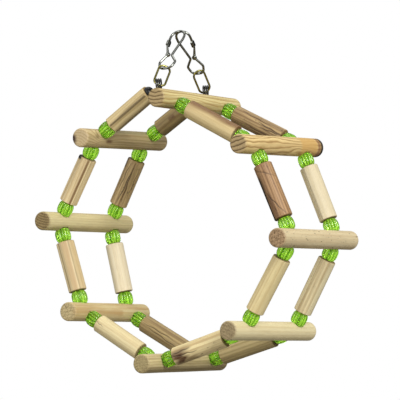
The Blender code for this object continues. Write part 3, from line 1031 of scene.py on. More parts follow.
PERCH_WOODS: dict[str, WoodFinish] = {
    "top": WoodFinish(
        (228, 212, 150), (176, 138, 72), (146, 108, 56), (186, 160, 112), 0.70, 3.3, (3.0, -30.0), 5.0,
        0.40,
        end_rings=1.0, end_flecks=0.25, flow=0.35, end_depth=0.52,
        # painted shade: an olive band darkens the lower side along nearly the whole length
        stains_and_shade=(Stain(58.0, 20.0, 0.04, 0.96, 0.30, (96, 84, 40)),),
        knots=(Knot(20.0, 0.34, 5.0, 22.0, 1.6),),
    ),
    "upper_right": WoodFinish(
        (238, 210, 146), (156, 112, 54), (150, 112, 58), (182, 156, 110), 0.80, 3.6, (-4.0, -26.0), 7.0,
        0.25,
        end_rings=1.0, end_flecks=0.25, flow=0.40, end_depth=0.50,
        stains_and_shade=(
            Stain(0.0, 400.0, 0.71, 0.92, 0.80, (214, 170, 96)),
            Stain(0.0, 400.0, 0.925, 0.958, 0.85, (128, 74, 40)),
            Stain(0.0, 400.0, 0.958, 1.2, 1.0, (28, 16, 10)),
        ),
        knots=(Knot(38.0, 0.70, 6.0, 18.0, 1.7), Knot(-40.0, 0.36, 6.0, 16.0, 1.2)),
    ),
    "right": WoodFinish(
        (222, 204, 162), (208, 184, 138), (188, 156, 112), (178, 146, 108), 0.45, 3.4, (10.0, 30.0), 1.2,
        0.25,
        flecks=1.0, end_flecks=0.9,
    ),
    "lower_right": WoodFinish(
        (234, 220, 174), (218, 198, 148), (210, 184, 132), (172, 152, 112), 0.5, 3.0, (-12.0, 26.0), 1.0,
        0.2,
        end_flecks=0.9,
    ),
    "bottom": WoodFinish(
        (226, 208, 156), (182, 154, 102), (136, 112, 68), (186, 168, 118), 0.6, 2.6, (4.0, 24.0), 2.4, 0.4,
        # painted shade: darker brown along the lower side, the whole length
        end_flecks=0.8, flow=0.2, stains_and_shade=(Stain(52.0, 30.0, 0.0, 1.02, 0.50, (104, 82, 48)),),
    ),
    "lower_left": WoodFinish(
        (226, 208, 156), (204, 172, 108), (186, 140, 78), (206, 186, 136), 0.5, 3.4, (2.0, 19.0), 1.8, 0.5,
        end_flecks=0.7, cracks=(Crack(235.0, 20.0, -0.02, 0.03, 0.3),),
        stains_and_shade=(Stain(2.0, 18.0, 0.0, 0.62, 0.45, (186, 138, 76)),),
    ),
    "left": WoodFinish(
        (224, 210, 158), (204, 184, 128), (184, 160, 104), (164, 140, 90), 0.5, 2.4, (8.0, -24.0), 1.4, 0.3,
        # painted shade: a darker band along the lower edge
        end_rings=0.8, end_flecks=0.8, stains_and_shade=(Stain(48.0, 14.0, 0.05, 0.95, 0.35, (150, 128, 78)),),
    ),
    "upper_left": WoodFinish(
        (216, 194, 144), (166, 134, 84), (140, 120, 72), (206, 184, 142), 0.65, 2.6, (-6.0, 18.0), 3.0, 0.5,
        end_rings=0.45, end_flecks=0.3, flow=0.25, end_depth=0.72,
        stains_and_shade=(
            Stain(178.0, 34.0, -0.05, 0.035, 1.0, (58, 32, 18)),
            Stain(300.0, 30.0, 0.28, 0.98, 0.55, (104, 104, 64)),
            Stain(22.0, 12.0, 0.23, 0.29, 0.80, (104, 62, 30)),
            Stain(350.0, 16.0, 0.10, 0.13, 0.55, (96, 68, 36)),
        ),
        knots=(Knot(-12.0, 0.17, 8.0, 12.0, 3.0),),
    ),
}

SPACER_WOODS: dict[tuple[Side, str], WoodFinish] = {
    (Side.FRONT, "top"): WoodFinish(
        (212, 190, 138), (192, 166, 114), (178, 150, 100), rings=0.4, ring_width=3.2, streaks=0.25,
        # a dark brown band along the whole upper side
        stains_and_shade=(Stain(100.0, 46.0, 0.0, 1.02, 0.95, (120, 84, 46)),),
    ),
    (Side.FRONT, "upper_right"): WoodFinish(
        (184, 146, 102), (132, 94, 58), (100, 66, 38), (160, 122, 82), 0.65, 2.4, (8.0, 16.0), 3.4, 0.60,
        1.6,
        flow=0.3,
        stains_and_shade=(
            Stain(232.0, 24.0, 0.22, 1.1, 1.0, (34, 22, 14), 0.06),
            Stain(200.0, 30.0, 0.50, 1.05, 0.60, (92, 60, 34), 0.12),
        ),
        cracks=(Crack(236.0, -140.0, 0.04, 0.30, 0.55), Crack(204.0, -70.0, 0.52, 0.97, 0.45)),
    ),
    (Side.FRONT, "right"): WoodFinish(
        (224, 206, 154), (196, 170, 116), (180, 150, 98), rings=0.5, ring_width=2.8, streaks=0.35,
        flats=(Flat(250.0, 0.5),),
    ),
    (Side.FRONT, "lower_right"): WoodFinish(
        (246, 228, 172), (212, 182, 128), (156, 114, 68), (170, 144, 96), 0.5, 2.6, (10.0, 18.0), 2.0,
        0.4, 0.8,
        stains_and_shade=(
            Stain(150.0, 58.0, 0.76, 1.05, 0.95, (88, 54, 28), 0.14),
            Stain(118.0, 24.0, 0.50, 1.05, 0.65, (120, 86, 48), 0.14),
        ),
        cracks=(Crack(160.0, 12.0, 0.50, 1.0, 0.4), Crack(196.0, -8.0, 0.62, 1.0, 0.4)),
    ),
    (Side.FRONT, "bottom"): WoodFinish(
        (228, 212, 164), (206, 182, 130), (170, 136, 88), rings=0.45, ring_width=3.0, streaks=0.35,
        cracks=(Crack(60.0, 6.0, 0.55, 1.02, 0.3), Crack(190.0, 6.0, 0.82, 1.02, 0.25)),
    ),
    (Side.FRONT, "lower_left"): WoodFinish(
        (230, 212, 166), (206, 178, 126), (190, 152, 100), rings=0.5, ring_width=4.2, heart=(2.0, 16.0),
        streaks=0.35,
        flats=(Flat(160.0, 0.6), Flat(255.0, 0.6)),
        stains_and_shade=(
            Stain(204.0, 16.0, 0.0, 1.02, 0.50, (176, 132, 84)),
            Stain(230.0, 5.0, 0.0, 1.02, 0.55, (132, 104, 62)),
            Stain(158.0, 6.0, 0.0, 1.02, 0.55, (124, 108, 68)),
        ),
    ),
    (Side.FRONT, "left"): WoodFinish(
        (238, 218, 170), (196, 164, 110), (156, 120, 70), rings=0.5, ring_width=3.0, streaks=0.35,
        flats=(Flat(150.0, 1.0), Flat(196.0, 0.7), Flat(262.0, 0.9)),
        stains_and_shade=(
            Stain(222.0, 9.0, 0.0, 1.0, 0.85, (116, 80, 38)),
            Stain(134.0, 30.0, 0.93, 1.1, 1.0, (36, 30, 26)),
        ),
    ),
    (Side.FRONT, "upper_left"): WoodFinish(
        (222, 200, 148), (184, 156, 104), (122, 96, 50), (180, 154, 104), 0.5, 3.0, (4.0, 20.0), 1.8, 0.45,
        flats=(Flat(110.0, 0.9), Flat(165.0, 1.1), Flat(225.0, 1.1), Flat(280.0, 0.9)),
        stains_and_shade=(
            Stain(197.0, 9.0, 0.02, 0.98, 0.75, (78, 56, 26)),
            # painted shade: the lower face, turned towards the wheel's middle, darker along the whole length
            Stain(262.0, 24.0, 0.0, 1.02, 0.55, (84, 66, 36)),
        ),
    ),
    (Side.REAR, "top"): WoodFinish(
        (188, 160, 112), (128, 96, 58), (98, 68, 38), (166, 132, 88), 0.75, 1.9, (5.0, -20.0), 3.4, 0.6,
        0.9,
        cracks=(
            Crack(150.0, 10.0, 0.50, 1.02, 0.60), Crack(176.0, -12.0, 0.58, 1.02, 0.50),
            Crack(200.0, 8.0, 0.30, 0.98, 0.42),
            Crack(128.0, 6.0, 0.15, 0.75, 0.36), Crack(222.0, 5.0, 0.45, 0.97, 0.45),
        ),
        stains_and_shade=(Stain(215.0, 26.0, 0.0, 1.02, 0.45, (88, 62, 36)),),
    ),
    (Side.REAR, "upper_right"): WoodFinish(
        (226, 212, 178), (214, 198, 158), (198, 180, 138), rings=0.45, ring_width=3.2, streaks=0.25,
        flats=(Flat(212.0, 0.9),), stains_and_shade=(Stain(222.0, 14.0, 0.0, 1.02, 0.45, (196, 176, 126)),),
    ),
    (Side.REAR, "right"): WoodFinish(
        (228, 214, 172), (194, 168, 122), (148, 122, 78), rings=0.5, ring_width=2.8, streaks=0.5,
        flecks=0.6,
        flats=(Flat(165.0, 0.7), Flat(215.0, 0.7)),
        stains_and_shade=(Stain(186.0, 12.0, 0.0, 1.02, 0.45, (140, 116, 70)),),
    ),
    (Side.REAR, "lower_right"): WoodFinish(
        (198, 178, 126), (158, 136, 86), (110, 92, 52), (146, 122, 80), 0.6, 2.6, (4.0, 16.0), 2.4, 0.5,
        flow=0.2,
    ),
    (Side.REAR, "bottom"): WoodFinish(
        (192, 168, 118), (152, 124, 76), (112, 84, 46), (158, 134, 88), 0.6, 2.4, (6.0, -16.0), 2.6, 0.6,
        cracks=(Crack(170.0, 14.0, 0.1, 0.8, 0.36), Crack(205.0, -10.0, 0.3, 0.95, 0.36)),
    ),
    (Side.REAR, "lower_left"): WoodFinish(
        (248, 234, 200), (236, 218, 178), (222, 200, 156), rings=0.4, ring_width=3.6, streaks=0.2,
        stains_and_shade=(Stain(140.0, 24.0, 0.0, 1.02, 0.30, (196, 184, 140)),),
    ),
    (Side.REAR, "left"): WoodFinish(
        (196, 170, 120), (152, 120, 74), (96, 70, 36), (156, 130, 84), 0.7, 2.2, (4.0, 16.0), 3.0, 0.60,
        1.0,
        cracks=(
            Crack(196.0, 16.0, 0.02, 0.97, 0.55), Crack(222.0, -14.0, 0.10, 0.85, 0.42),
            Crack(172.0, 8.0, 0.35, 0.98, 0.40),
            Crack(248.0, 6.0, 0.2, 0.9, 0.40),
        ),
        stains_and_shade=(Stain(128.0, 20.0, 0.8, 1.05, 0.9, (44, 32, 20)),),
    ),
    (Side.REAR, "upper_left"): WoodFinish(
        (172, 150, 100), (134, 108, 64), (94, 74, 40), (130, 104, 62), 0.55, 2.6, (6.0, 14.0), 2.4, 0.5,
        0.6,
        stains_and_shade=(
            Stain(192.0, 14.0, 0.34, 0.50, 0.55, (92, 56, 28)),
            # painted shade: the lower face, turned towards the wheel's middle, darker along the whole length
            Stain(262.0, 30.0, 0.0, 1.02, 0.45, (66, 56, 32)),
        ),
    ),
}


@dataclass
class Perches:
    """The eight perches, each a dowel with a seat sunk in it under every bead.

    Attributes:
        layout: Where they are.
        shop: Where their finishes come from.
        length: Their length.
        rounding: Radius of the rounding at their ends.
        seat_radius: Radius of a bead's seat.
        seat_depth: Depth of the seat below the top of the round.
        hole_radius: Radius of the hole for the wire.
        hole_depth: How far the hole is shown to go in.
        columns: Points round a perch.
        end_rows: Rows on each end face.
        row_step: Distance between the rows along the side.
        row_margin: Distance from each end to the first of them.
        seat_span: Half the length on which the rows lie closer, at each hoop.
        seat_step: Distance between those rows.
    """

    layout: WheelLayout
    shop: WoodShop
    length: float = 0.150
    rounding: float = 0.0018
    seat_radius: float = 0.0066
    seat_depth: float = 0.0018
    hole_radius: float = 0.00205
    hole_depth: float = 0.004
    columns: int = 160
    end_rows: int = 9
    row_step: float = 0.0015
    row_margin: float = 0.0025
    seat_span: float = 0.0072
    seat_step: float = 0.00036

    def _rows(self) -> tuple[Array, Array, Array]:
        """Work out the profile from end to end: distance along, radius and how much it is sawn end.

        The end faces are flat as far as the quarter round of their rims.

        Returns:
            The three values, one to a row of the grid.
        """
        flat = np.linspace(0.04, 1.0, self.end_rows) * (PERCH_RADIUS - self.rounding)
        bend = np.linspace(0.0, math.pi / 2, self.end_rows)[1:]
        fall, turned = quarter_round(self.rounding, self.end_rows)
        half = self.length / 2
        reach = half - self.row_margin
        seats = np.arange(-self.seat_span, self.seat_span + ROW_GAP, self.seat_step)
        plain = np.arange(-reach, reach + ROW_GAP, self.row_step)
        side = np.unique(np.round(np.concatenate([plain, seats - HOOP_OFFSET, seats + HOOP_OFFSET]), 6))
        side = side[np.concatenate([[True], np.diff(side) > ROW_GAP])]
        end_radius = np.concatenate([flat, PERCH_RADIUS - fall[1:]])
        end_place = np.concatenate([np.full(self.end_rows, -half), turned[1:] - half])
        end_cut = np.concatenate([np.ones(self.end_rows), np.clip(1.15 - bend / math.pi * 2, 0.0, 1.0)])
        place = np.concatenate([end_place, side, -end_place[::-1]])
        radius = np.concatenate([end_radius, np.full(len(side), PERCH_RADIUS), end_radius[::-1]])
        cut = np.concatenate([end_cut, np.zeros(len(side)), end_cut[::-1]])
        return place + half, radius, cut

    def _sunk(
        self, dowel: Dowel, angle: Array, along: Array, radius: Array, run: Array, seated: bool
    ) -> Array:
        """Sink one hole and its seat into a perch.

        With a for the share of the run that lies along the perch, a seat's flat is at
        (floor - a * step) / cos(angle from the seat's middle), where step is the
        distance along the perch from the hoop.  A hole goes its depth below the round.

        Args:
            dowel: The perch.
            angle: Angle of each grid point.
            along: Distance of each grid point from the front end.
            radius: Radius of each grid point.
            run: Direction in which the wire leaves, starting at the hoop's place on the axis.
            seated: Whether a bead sits there.

        Returns:
            The sunk radius.
        """
        floor = PERCH_RADIUS - self.seat_depth
        other = np.cross(dowel.axis, dowel.across)
        lean = float(run @ dowel.axis)
        off = angle - math.atan2(float(run @ other), float(run @ dowel.across))
        facing = np.cos(off) > FACING
        for offset in (-HOOP_OFFSET, HOOP_OFFSET):
            step = along - self.length / 2 - offset / dowel.axis[1]
            reach = np.hypot(PERCH_RADIUS * np.sin(off), step - lean * PERCH_RADIUS)
            if seated:
                flat = (floor - lean * step) / np.maximum(np.cos(off), FACING)
                radius = np.where(facing & (reach < self.seat_radius), np.minimum(radius, flat), radius)
            radius = np.where(facing & (reach < self.hole_radius), radius - self.hole_depth, radius)
        return radius

    def build(self) -> None:
        """Make and dress the perches."""
        front, middle, rear = (self.layout.corners(offset) for offset in (-HOOP_OFFSET, 0.0, HOOP_OFFSET))
        runs = self.layout.runs(-HOOP_OFFSET)
        place, profile, cut = self._rows()
        angle, along = np.meshgrid(full_turn(self.columns), place)
        for i, (name, *_) in enumerate(self.layout.places):
            wood = PERCH_WOODS[name]
            axis = unit(rear[i] - front[i])
            across = unit(np.cross(axis, (0.0, 0.0, 1.0)))
            start = middle[i] - axis * self.length / 2
            label, seed = f"{name}_perch_dowel", PERCH_SHAPE_SEED + i
            dowel = Dowel(label, start, axis, across, self.length, PERCH_RADIUS, wood, seed)
            radius = np.broadcast_to(profile[:, None], angle.shape)
            uneven = dowel.shaped(angle, along, np.full(angle.shape, PERCH_RADIUS)) / PERCH_RADIUS
            radius = self._sunk(dowel, angle, along, radius * uneven, runs[i], seated=True)
            arriving = -runs[max(i - 1, 0)]
            radius = self._sunk(dowel, angle, along, radius, arriving, seated=i > 0)
            sawn = np.broadcast_to(cut[:, None], angle.shape)
            surface = dowel.surface(angle, along, radius, sawn, loop=False)
            material = self.shop.finish(dowel.name, wood, PERCH_GRAIN_SEED + i)
            surface.build(material, "wheel", "wood", (f"{name}_perch",))


@dataclass
class Strings:
    """The spacers and beads that are threaded on both hoops between the perches.

    Attributes:
        layout: Where the runs are.
        shop: Where the wood finishes come from.
        lime: Finish of the beads.
        radius: Radius of a spacer.
        chamfer: Edge taken off a spacer's ends.
        bore: Radius of the hole through spacers and beads.
        lip: Width of the small edge at the bore's ends.
        bead_length: Length of a bead.
        bead_radius: Radius of a bead over its ribs.
        bead_end: Radius of a bead's flat ends.
        ribs: Ribs round a bead.
        groove: Depth of the grooves between the ribs.
        seat: Depth by which a bead sits in a perch.
        stopper_room: Length that the stopper and the coil take at the top of the last run.
        columns: Points round a spacer.
        side_rows: Rows along its side.
        end_rows: Rows on each of its ends.
        bead_power: Power that gives a bead its barrel shape.
        bead_rows: Rows along a bead.
        rib_columns: Points round each rib.
    """

    layout: WheelLayout
    shop: WoodShop
    lime: bpy.types.Material
    radius: float = 0.00875
    chamfer: float = 0.0006
    bore: float = 0.00155
    lip: float = 0.0004
    bead_length: float = 0.013
    bead_radius: float = 0.0075
    bead_end: float = 0.0034
    ribs: int = 13
    groove: float = 0.0010
    seat: float = 0.0018
    stopper_room: float = 0.0131
    columns: int = 180
    side_rows: int = 72
    end_rows: int = 8
    bead_power: float = 2.6
    bead_rows: int = 27
    rib_columns: int = 10

    def _spacer(
        self, name: str, start: Array, axis: Array, length: float, wood: WoodFinish, seed: int
    ) -> Surface:
        """Make a spacer: a short drilled dowel with square sawn ends.

        The profile runs up the outside, over the chamfer, in over the top, down the
        bore and out under the foot, and closes on itself.

        Args:
            name: Name of the piece.
            start: Foot of the spacer on the wire.
            axis: Direction of the wire.
            length: Its length.
            wood: Its finish.
            seed: Number that fixes its irregularities.

        Returns:
            The surface.
        """
        rows, ends, lip = self.side_rows, self.end_rows, self.lip
        side = np.linspace(self.chamfer, length - self.chamfer, rows)
        top = np.linspace(self.radius - self.chamfer, self.bore + lip / 2, ends)
        radius = np.concatenate([np.full(rows, self.radius), top, [self.bore, self.bore], top[::-1]])
        place = np.concatenate([side, np.full(ends, length), [length - lip, lip], np.zeros(ends)])
        cut = np.concatenate([np.zeros(rows), np.ones(2 * ends + 2)])
        angle, along = np.meshgrid(full_turn(self.columns), place)
        dowel = Dowel(name, start, axis, Y_AXIS, length, self.radius, wood, seed)
        outer = dowel.shaped(angle, along, np.full(angle.shape, self.radius)) / self.radius
        share = np.clip((radius[:, None] - self.bore) / (self.radius - self.bore), 0.0, 1.0)
        uneven = radius[:, None] * (1.0 - (1.0 - outer) * share)
        return dowel.surface(angle, along, uneven, np.broadcast_to(cut[:, None], angle.shape), loop=True)

    def _bead(self, name: str, start: Array, axis: Array, turn: float) -> Surface:
        """Make a ribbed bead.

        With u from -1 to 1 along the bead and p for its power, the radius over the ribs
        is the end's radius plus the rise times (1 - |u|^p)^(1/p).  Between the ribs it is
        less by the groove times (1 - |sin(half the ribs times the angle)|)^1.3.

        Args:
            name: Name of the piece.
            start: Foot of the bead on the wire.
            axis: Direction of the wire.
            turn: Angle by which it is turned on the wire.

        Returns:
            The surface.
        """
        u = -np.cos(np.linspace(0.0, math.pi, self.bead_rows))
        swell = (1.0 - np.abs(u) ** self.bead_power).clip(0.0) ** (1 / self.bead_power)
        rise = self.bead_radius - self.bead_end
        radius = np.concatenate([[self.bore], self.bead_end + rise * swell, [self.bore]])
        place = np.concatenate([[0.0], (u + 1) / 2 * self.bead_length, [self.bead_length]])
        depth = np.concatenate([[0.0], swell, [0.0]]) * self.groove
        angle = full_turn(self.ribs * self.rib_columns)
        lobes = (1.0 - np.abs(np.sin(angle * self.ribs / 2))) ** 1.3
        grid_radius = radius[:, None] - depth[:, None] * lobes[None, :]
        ring = around(angle + turn, axis, Y_AXIS)
        grid = start + grid_radius[..., None] * ring[None, :, :] + place[:, None, None] * axis
        # groove: how far down a groove each point lies, which the plastic turns into painted shade
        values = {"groove": np.clip(depth[:, None] / self.groove * lobes[None, :] * 1.3, 0.0, 1.0)}
        return Surface(name, grid, loop_rows=True, values=values, sharp=60.0)

    def build(self) -> None:
        """Make and dress the spacers and beads of both hoops."""
        bead_start = PERCH_RADIUS - self.seat + GAP
        spacer_start = bead_start + self.bead_length + GAP
        for side in Side:
            corners, ends = self.layout.corners(side.offset), self.layout.ends(side.offset)
            runs = self.layout.runs(side.offset)
            for i, (name, *_) in enumerate(self.layout.places):
                last = i == len(corners) - 1
                following = self.layout.places[(i + 1) % len(corners)][0]
                label = f"{side.label}_{name}_to_{following}"
                body = f"{side.label}_{name}_run"
                whole = float(np.linalg.norm(ends[i] - corners[i]))
                finish = whole - (self.stopper_room if last else spacer_start)
                wood = SPACER_WOODS[(side, name)]
                seed = SPACER_SEED + 2 * i + (side is Side.REAR)
                node = f"{label}_spacer"
                foot = corners[i] + runs[i] * spacer_start
                spacer = self._spacer(f"{node}_dowel", foot, runs[i], finish - spacer_start, wood, seed)
                spacer.build(self.shop.finish(spacer.name, wood, seed), body, "wood", (node,))
                heights = (bead_start,) if last else (bead_start, finish + GAP)
                for number, height in enumerate(heights, 1):
                    held = node if last else f"{label}_bead_{number}"
                    piece = f"{label}_bead_{number}_ribbed"
                    turn = BEAD_TURN * (seed + 5 * number)
                    bead = self._bead(piece, corners[i] + runs[i] * height, runs[i], turn)
                    bead.build(self.lime, body, "lime_plastic", (held,))


@dataclass
class Hoop:
    """A hoop of one bent wire that is wound into a coil at its top.

    Attributes:
        layout: Where the perches are.
        wire: Radius of the wire.
        bend: Radius of its bends inside the perches.
        coil_radius: Radius of the coil's centre line.
        coil_pitch: Distance between its turns.
        coil_turns: Number of turns.
        coil_points: Points to a turn.
        coil_turn: Degrees by which the coil is turned about Z.
        coil_bend: Radius of the bend into and out of the coil.
        coil_near: Distance from the coil's middle up to which the reference is its axis.
        coil_fade: Distance over which the reference turns back to Y.
        stopper_radius: Radius of the stopper's foot.
        stopper_length: Length of the stopper.
        stopper_margin: Distance from the stopper to the middle of the coil.
        stopper_rows: Rows over the stopper's dome.
        stopper_columns: Points round the stopper.
        neck: Length of straight wire over the stopper.
        mouth: Distance from the top perch to where the wire bends up to the coil.
    """

    layout: WheelLayout
    wire: float = 0.00075
    bend: float = 0.012
    coil_radius: float = 0.0055
    coil_pitch: float = 0.00195
    coil_turns: int = 3
    coil_points: int = 28
    coil_turn: float = 20.0
    coil_bend: float = 0.0015
    coil_near: float = 0.009
    coil_fade: float = 0.012
    stopper_radius: float = 0.0065
    stopper_length: float = 0.0048
    stopper_margin: float = 0.008
    stopper_rows: int = 15
    stopper_columns: int = 48
    neck: float = 0.0006
    mouth: float = 0.0012

    def _coil(self, centre: Array) -> Array:
        """Work out the coil's centre line.

        It is a screw about X: (pitch times turn, R sin(turn), -R cos(turn)), turned
        about Z.

        Args:
            centre: Middle of the coil.

        Returns:
            The points.
        """
        turns = np.linspace(0.0, self.coil_turns, self.coil_turns * self.coil_points + 1)
        angle = turns * math.tau
        reach = self.coil_pitch * (turns - self.coil_turns / 2)
        line = np.stack([reach, self.coil_radius * np.sin(angle), -self.coil_radius * np.cos(angle)], axis=1)
        return centre + line @ turn_z(self.coil_turn).T

    def _path(self, offset: float) -> tuple[Array, Array]:
        """Work out the whole centre line and the reference vector at each point.

        Args:
            offset: Where the hoop lies along Y.

        Returns:
            The points and the vectors.
        """
        corners, runs = self.layout.corners(offset), self.layout.runs(offset)
        centre = self.layout.coil(offset)
        neck = centre - runs[-1] * (self.stopper_margin - self.neck)
        mouth = corners[0] - runs[0] * (PERCH_RADIUS + self.mouth)
        coil = self._coil(centre)
        points = np.concatenate([
            [corners[0] + runs[0] * GAP], corners[1:], [neck], coil, [mouth, corners[0] - runs[0] * GAP],
        ])
        coil_bends = np.concatenate([[self.coil_bend] * 2, np.zeros(len(coil) - 2), [self.coil_bend] * 2])
        radii = np.concatenate([[0.0], np.full(7, self.bend), coil_bends, [0.0]])
        path = spaced(rounded_path(points, radii), spacing=0.0012)
        away = np.linalg.norm(path - centre, axis=1) - self.coil_near
        started = np.arange(len(path)) > len(path) // 2
        near = (np.clip(1.0 - away / self.coil_fade, 0.0, 1.0) * started)[:, None]
        axis = turn_z(self.coil_turn) @ np.array((1.0, 0.0, 0.0))
        return path, unit((1.0 - near) * Y_AXIS + near * axis)

    def _stopper(self, offset: float) -> Array:
        """Make the stopper: a dome on a flat foot, pushed on the last run below the coil.

        With a from 0 to 90 degrees, the dome's radius is cos(a)^0.55 at the height
        sin(a), both scaled to leave a small rim at the foot.

        Args:
            offset: Where the hoop lies along Y.

        Returns:
            The grid of points.
        """
        run = self.layout.runs(offset)[-1]
        foot = self.layout.coil(offset) - run * (self.stopper_margin + self.stopper_length)
        rise = np.linspace(0.0, math.pi / 2, self.stopper_rows)[:-1]
        dome = 0.97 * np.cos(rise[1:]) ** 0.55
        radius = np.concatenate([[0.2, 0.94, 1.0], dome, [0.12]]) * self.stopper_radius
        place = np.concatenate([[0.0, 0.0], 0.04 + 0.96 * np.sin(rise), [1.0]]) * self.stopper_length
        ring = around(full_turn(self.stopper_columns), run, Y_AXIS)
        return foot + radius[:, None, None] * ring + place[:, None, None] * run

    def build(self, side: Side, wire: bpy.types.Material, black: bpy.types.Material) -> None:
        """Make one hoop with its stopper.

        Args:
            side: Which hoop.
            wire: Finish of the wire.
            black: Finish of the stopper.
        """
        path, reference = self._path(side.offset)
        node = f"{side.label}_hoop"
        grid = tube(path, self.wire, reference, columns=14)
        Surface(f"{node}_wire", grid).build(wire, "wheel", "plated_steel", (node,))
        stopper = Surface(f"{node}_stopper", self._stopper(side.offset))
        stopper.build(black, "wheel", "plated_steel", (node,))


@dataclass
class Hanger:
    """One side's spring hook with its gate, and the oval link that hangs in its eye.

    Places are in the hook's own plane: sideways along X from its middle, and drops
    down from the crown's centre line.

    Attributes:
        wire: Radius of the hook's wire.
        half_width: Half the width of the crown's centre line.
        shoulder: Drop at which the wire starts to bend in.
        shoulder_bend: Radius of that bend.
        waist: Drop of the waist over the eye.
        waist_side: Place of the waist.
        waist_bend: Radius of the waist and of the eye's upper corners.
        eye_half: Half the width of the eye.
        eye_side: Drop at which the eye is widest.
        foot_half: Half the width of the eye's foot.
        foot_bend: Radius of the foot's corners.
        drop: Drop of the foot.
        pivot_side: Place of the gate's pivot.
        pivot_drop: Its drop.
        pad_radius: Radius of the pad round the pivot.
        pad_half: Half the pad's thickness.
        pad_rim: Rounding of the pad's rims.
        pad_columns: Points round the pad.
        nose_top: Drop of the nose's upper end.
        nose_tip: Drop of its tip.
        nose_width: Its width.
        nose_depth: Depth of its channel, outside.
        nose_wall: Thickness of its sheet.
        nose_curve: Outer radius of its two bends.
        nose_web: Height of the web that closes it at the top.
        nose_rows: Rows along it.
        web_rows: How many of them lie on the web.
        root_share: Width of its upper end, as a share of its width.
        gate_wire: Radius of the gate's wire.
        gate_tip_half: Half the distance between its legs at the tip.
        link_length: Length of the link.
        link_width: Its width.
        link_wire: Radius of its wire.
        link_corner: Radius of its corners.
        link_turn: Degrees by which it is turned about the hook's length.
        link_drop: Drop of its upper centre line.
        lean: Degrees by which the whole hanger leans forward.
        crown_side: Distance of the crown from the middle plane.
    """

    wire: float = 0.001146
    half_width: float = 0.0074
    shoulder: float = 0.0105
    shoulder_bend: float = 0.008
    waist: float = 0.0315
    waist_side: float = 0.0017
    waist_bend: float = 0.003
    eye_half: float = 0.0085
    eye_side: float = 0.0405
    foot_half: float = 0.0061
    foot_bend: float = 0.006
    drop: float = 0.0487
    pivot_side: float = -0.0027
    pivot_drop: float = 0.0305
    pad_radius: float = 0.0023
    pad_half: float = 0.0012
    pad_rim: float = 0.0004
    pad_columns: int = 32
    nose_top: float = 0.0115
    nose_tip: float = 0.0178
    nose_width: float = 0.0048
    nose_depth: float = 0.0026
    nose_wall: float = 0.0006
    nose_curve: float = 0.0011
    nose_web: float = 0.001
    nose_rows: int = 13
    web_rows: int = 3
    root_share: float = 0.62
    gate_wire: float = 0.00065
    gate_tip_half: float = 0.0008
    link_length: float = 0.026
    link_width: float = 0.013
    link_wire: float = 0.001
    link_corner: float = 0.005
    link_turn: float = 42.0
    link_drop: float = 0.0462
    lean: float = 39.128
    crown_side: float = 0.0013

    def _placed(self, side: Side, points: Array) -> Array:
        """Lean points of the hook's plane forward from the crown, and turn the rear ones half round."""
        leaned = points @ turn_x(-self.lean).T + np.array((0.0, -self.crown_side, self.wire))
        return leaned if side is Side.FRONT else leaned @ turn_z(180.0).T

    def _hook_path(self) -> Array:
        """Work out the hook's centre line from nose to crown, down its side and round its eye.

        Returns:
            Points of the hook's own frame.
        """
        corners = np.array([
            (-self.half_width, 0.0, -self.nose_top - 0.001),
            (-self.half_width, 0.0, 0.0),
            (self.half_width, 0.0, 0.0),
            (self.half_width, 0.0, -self.shoulder),
            (self.waist_side, 0.0, -self.waist),
            (self.eye_half, 0.0, -self.eye_side),
            (self.foot_half, 0.0, -self.drop),
            (-self.foot_half, 0.0, -self.drop),
            (-self.eye_half, 0.0, -self.eye_side),
            (self.pivot_side, 0.0, -self.pivot_drop),
        ])
        crown, eye, foot = 0.98 * self.half_width, self.waist_bend, self.foot_bend
        radii = np.array([0.0, crown, crown, self.shoulder_bend, eye, eye, foot, foot, eye, 0.0])
        return rounded_path(corners, radii)

    def _channel(self, inset: float) -> tuple[Array, Array]:
        """Work out a line of the nose's U section, set in from its outside.

        It starts at one lip, goes through a quarter round at each of the two bends,
        and ends at the other lip.

        Args:
            inset: How far it lies in from the outside.

        Returns:
            Its places along X and Y.
        """
        half, radius = self.nose_width / 2 - inset, self.nose_curve - inset
        back, lip = -self.half_width - self.nose_depth / 2, -self.half_width + self.nose_depth / 2
        rise, run = quarter_round(radius, 7)
        x = np.concatenate([[lip], back + inset + rise, back + inset + run, [lip]])
        return x, np.concatenate([[-half], -half + run, half - rise, [half]])

    def _nose(self) -> Array:
        """Make the nose: a channel bent up from the flattened end of the wire.

        Its section is a U between two rounded lines, and the rows carry it from the
        wire down to the tip, flaring from a root that is closed by a web.

        Returns:
            The grid of points.
        """
        outer_x, outer_y = self._channel(0.0)
        inner_x, inner_y = self._channel(self.nose_wall)
        section_x = np.concatenate([outer_x, inner_x[::-1]])
        section_y = np.concatenate([outer_y, inner_y[::-1]])
        web = np.concatenate([outer_x, np.full(len(inner_x), outer_x[0])])
        rows = np.linspace(0.0, 1.0, self.nose_rows)
        closed = (np.arange(self.nose_rows) < self.web_rows)[:, None]
        height = -(self.nose_top + rows * (self.nose_tip - self.nose_top))
        height[self.web_rows - 1] = -(self.nose_top + self.nose_web)
        height[self.web_rows] = height[self.web_rows - 1] - 0.00003
        flare = (self.root_share + (1.0 - self.root_share) * np.clip(rows / 0.25, 0, 1) ** 0.6)[:, None]
        x = np.where(closed, web, section_x)
        return np.stack([x, section_y * flare, np.broadcast_to(height[:, None], x.shape)], axis=2)

    def _pad(self) -> Array:
        """Make the pad of the pivot: a disc pressed from the wire, with rounded rims, turned about Y.

        Returns:
            The grid of points.
        """
        fall, inwards = quarter_round(self.pad_rim, 6)
        radius = np.concatenate([[0.3 * self.pad_radius], self.pad_radius - fall])
        place = np.concatenate([[self.pad_half], self.pad_half - inwards])
        radius, place = np.concatenate([radius, radius[::-1]]), np.concatenate([place, -place[::-1]])
        angle = full_turn(self.pad_columns)
        return np.stack([
            self.pivot_side + radius[:, None] * np.cos(angle),
            np.broadcast_to(place[:, None], (len(place), self.pad_columns)),
            -self.pivot_drop + radius[:, None] * np.sin(angle),
        ], axis=2)

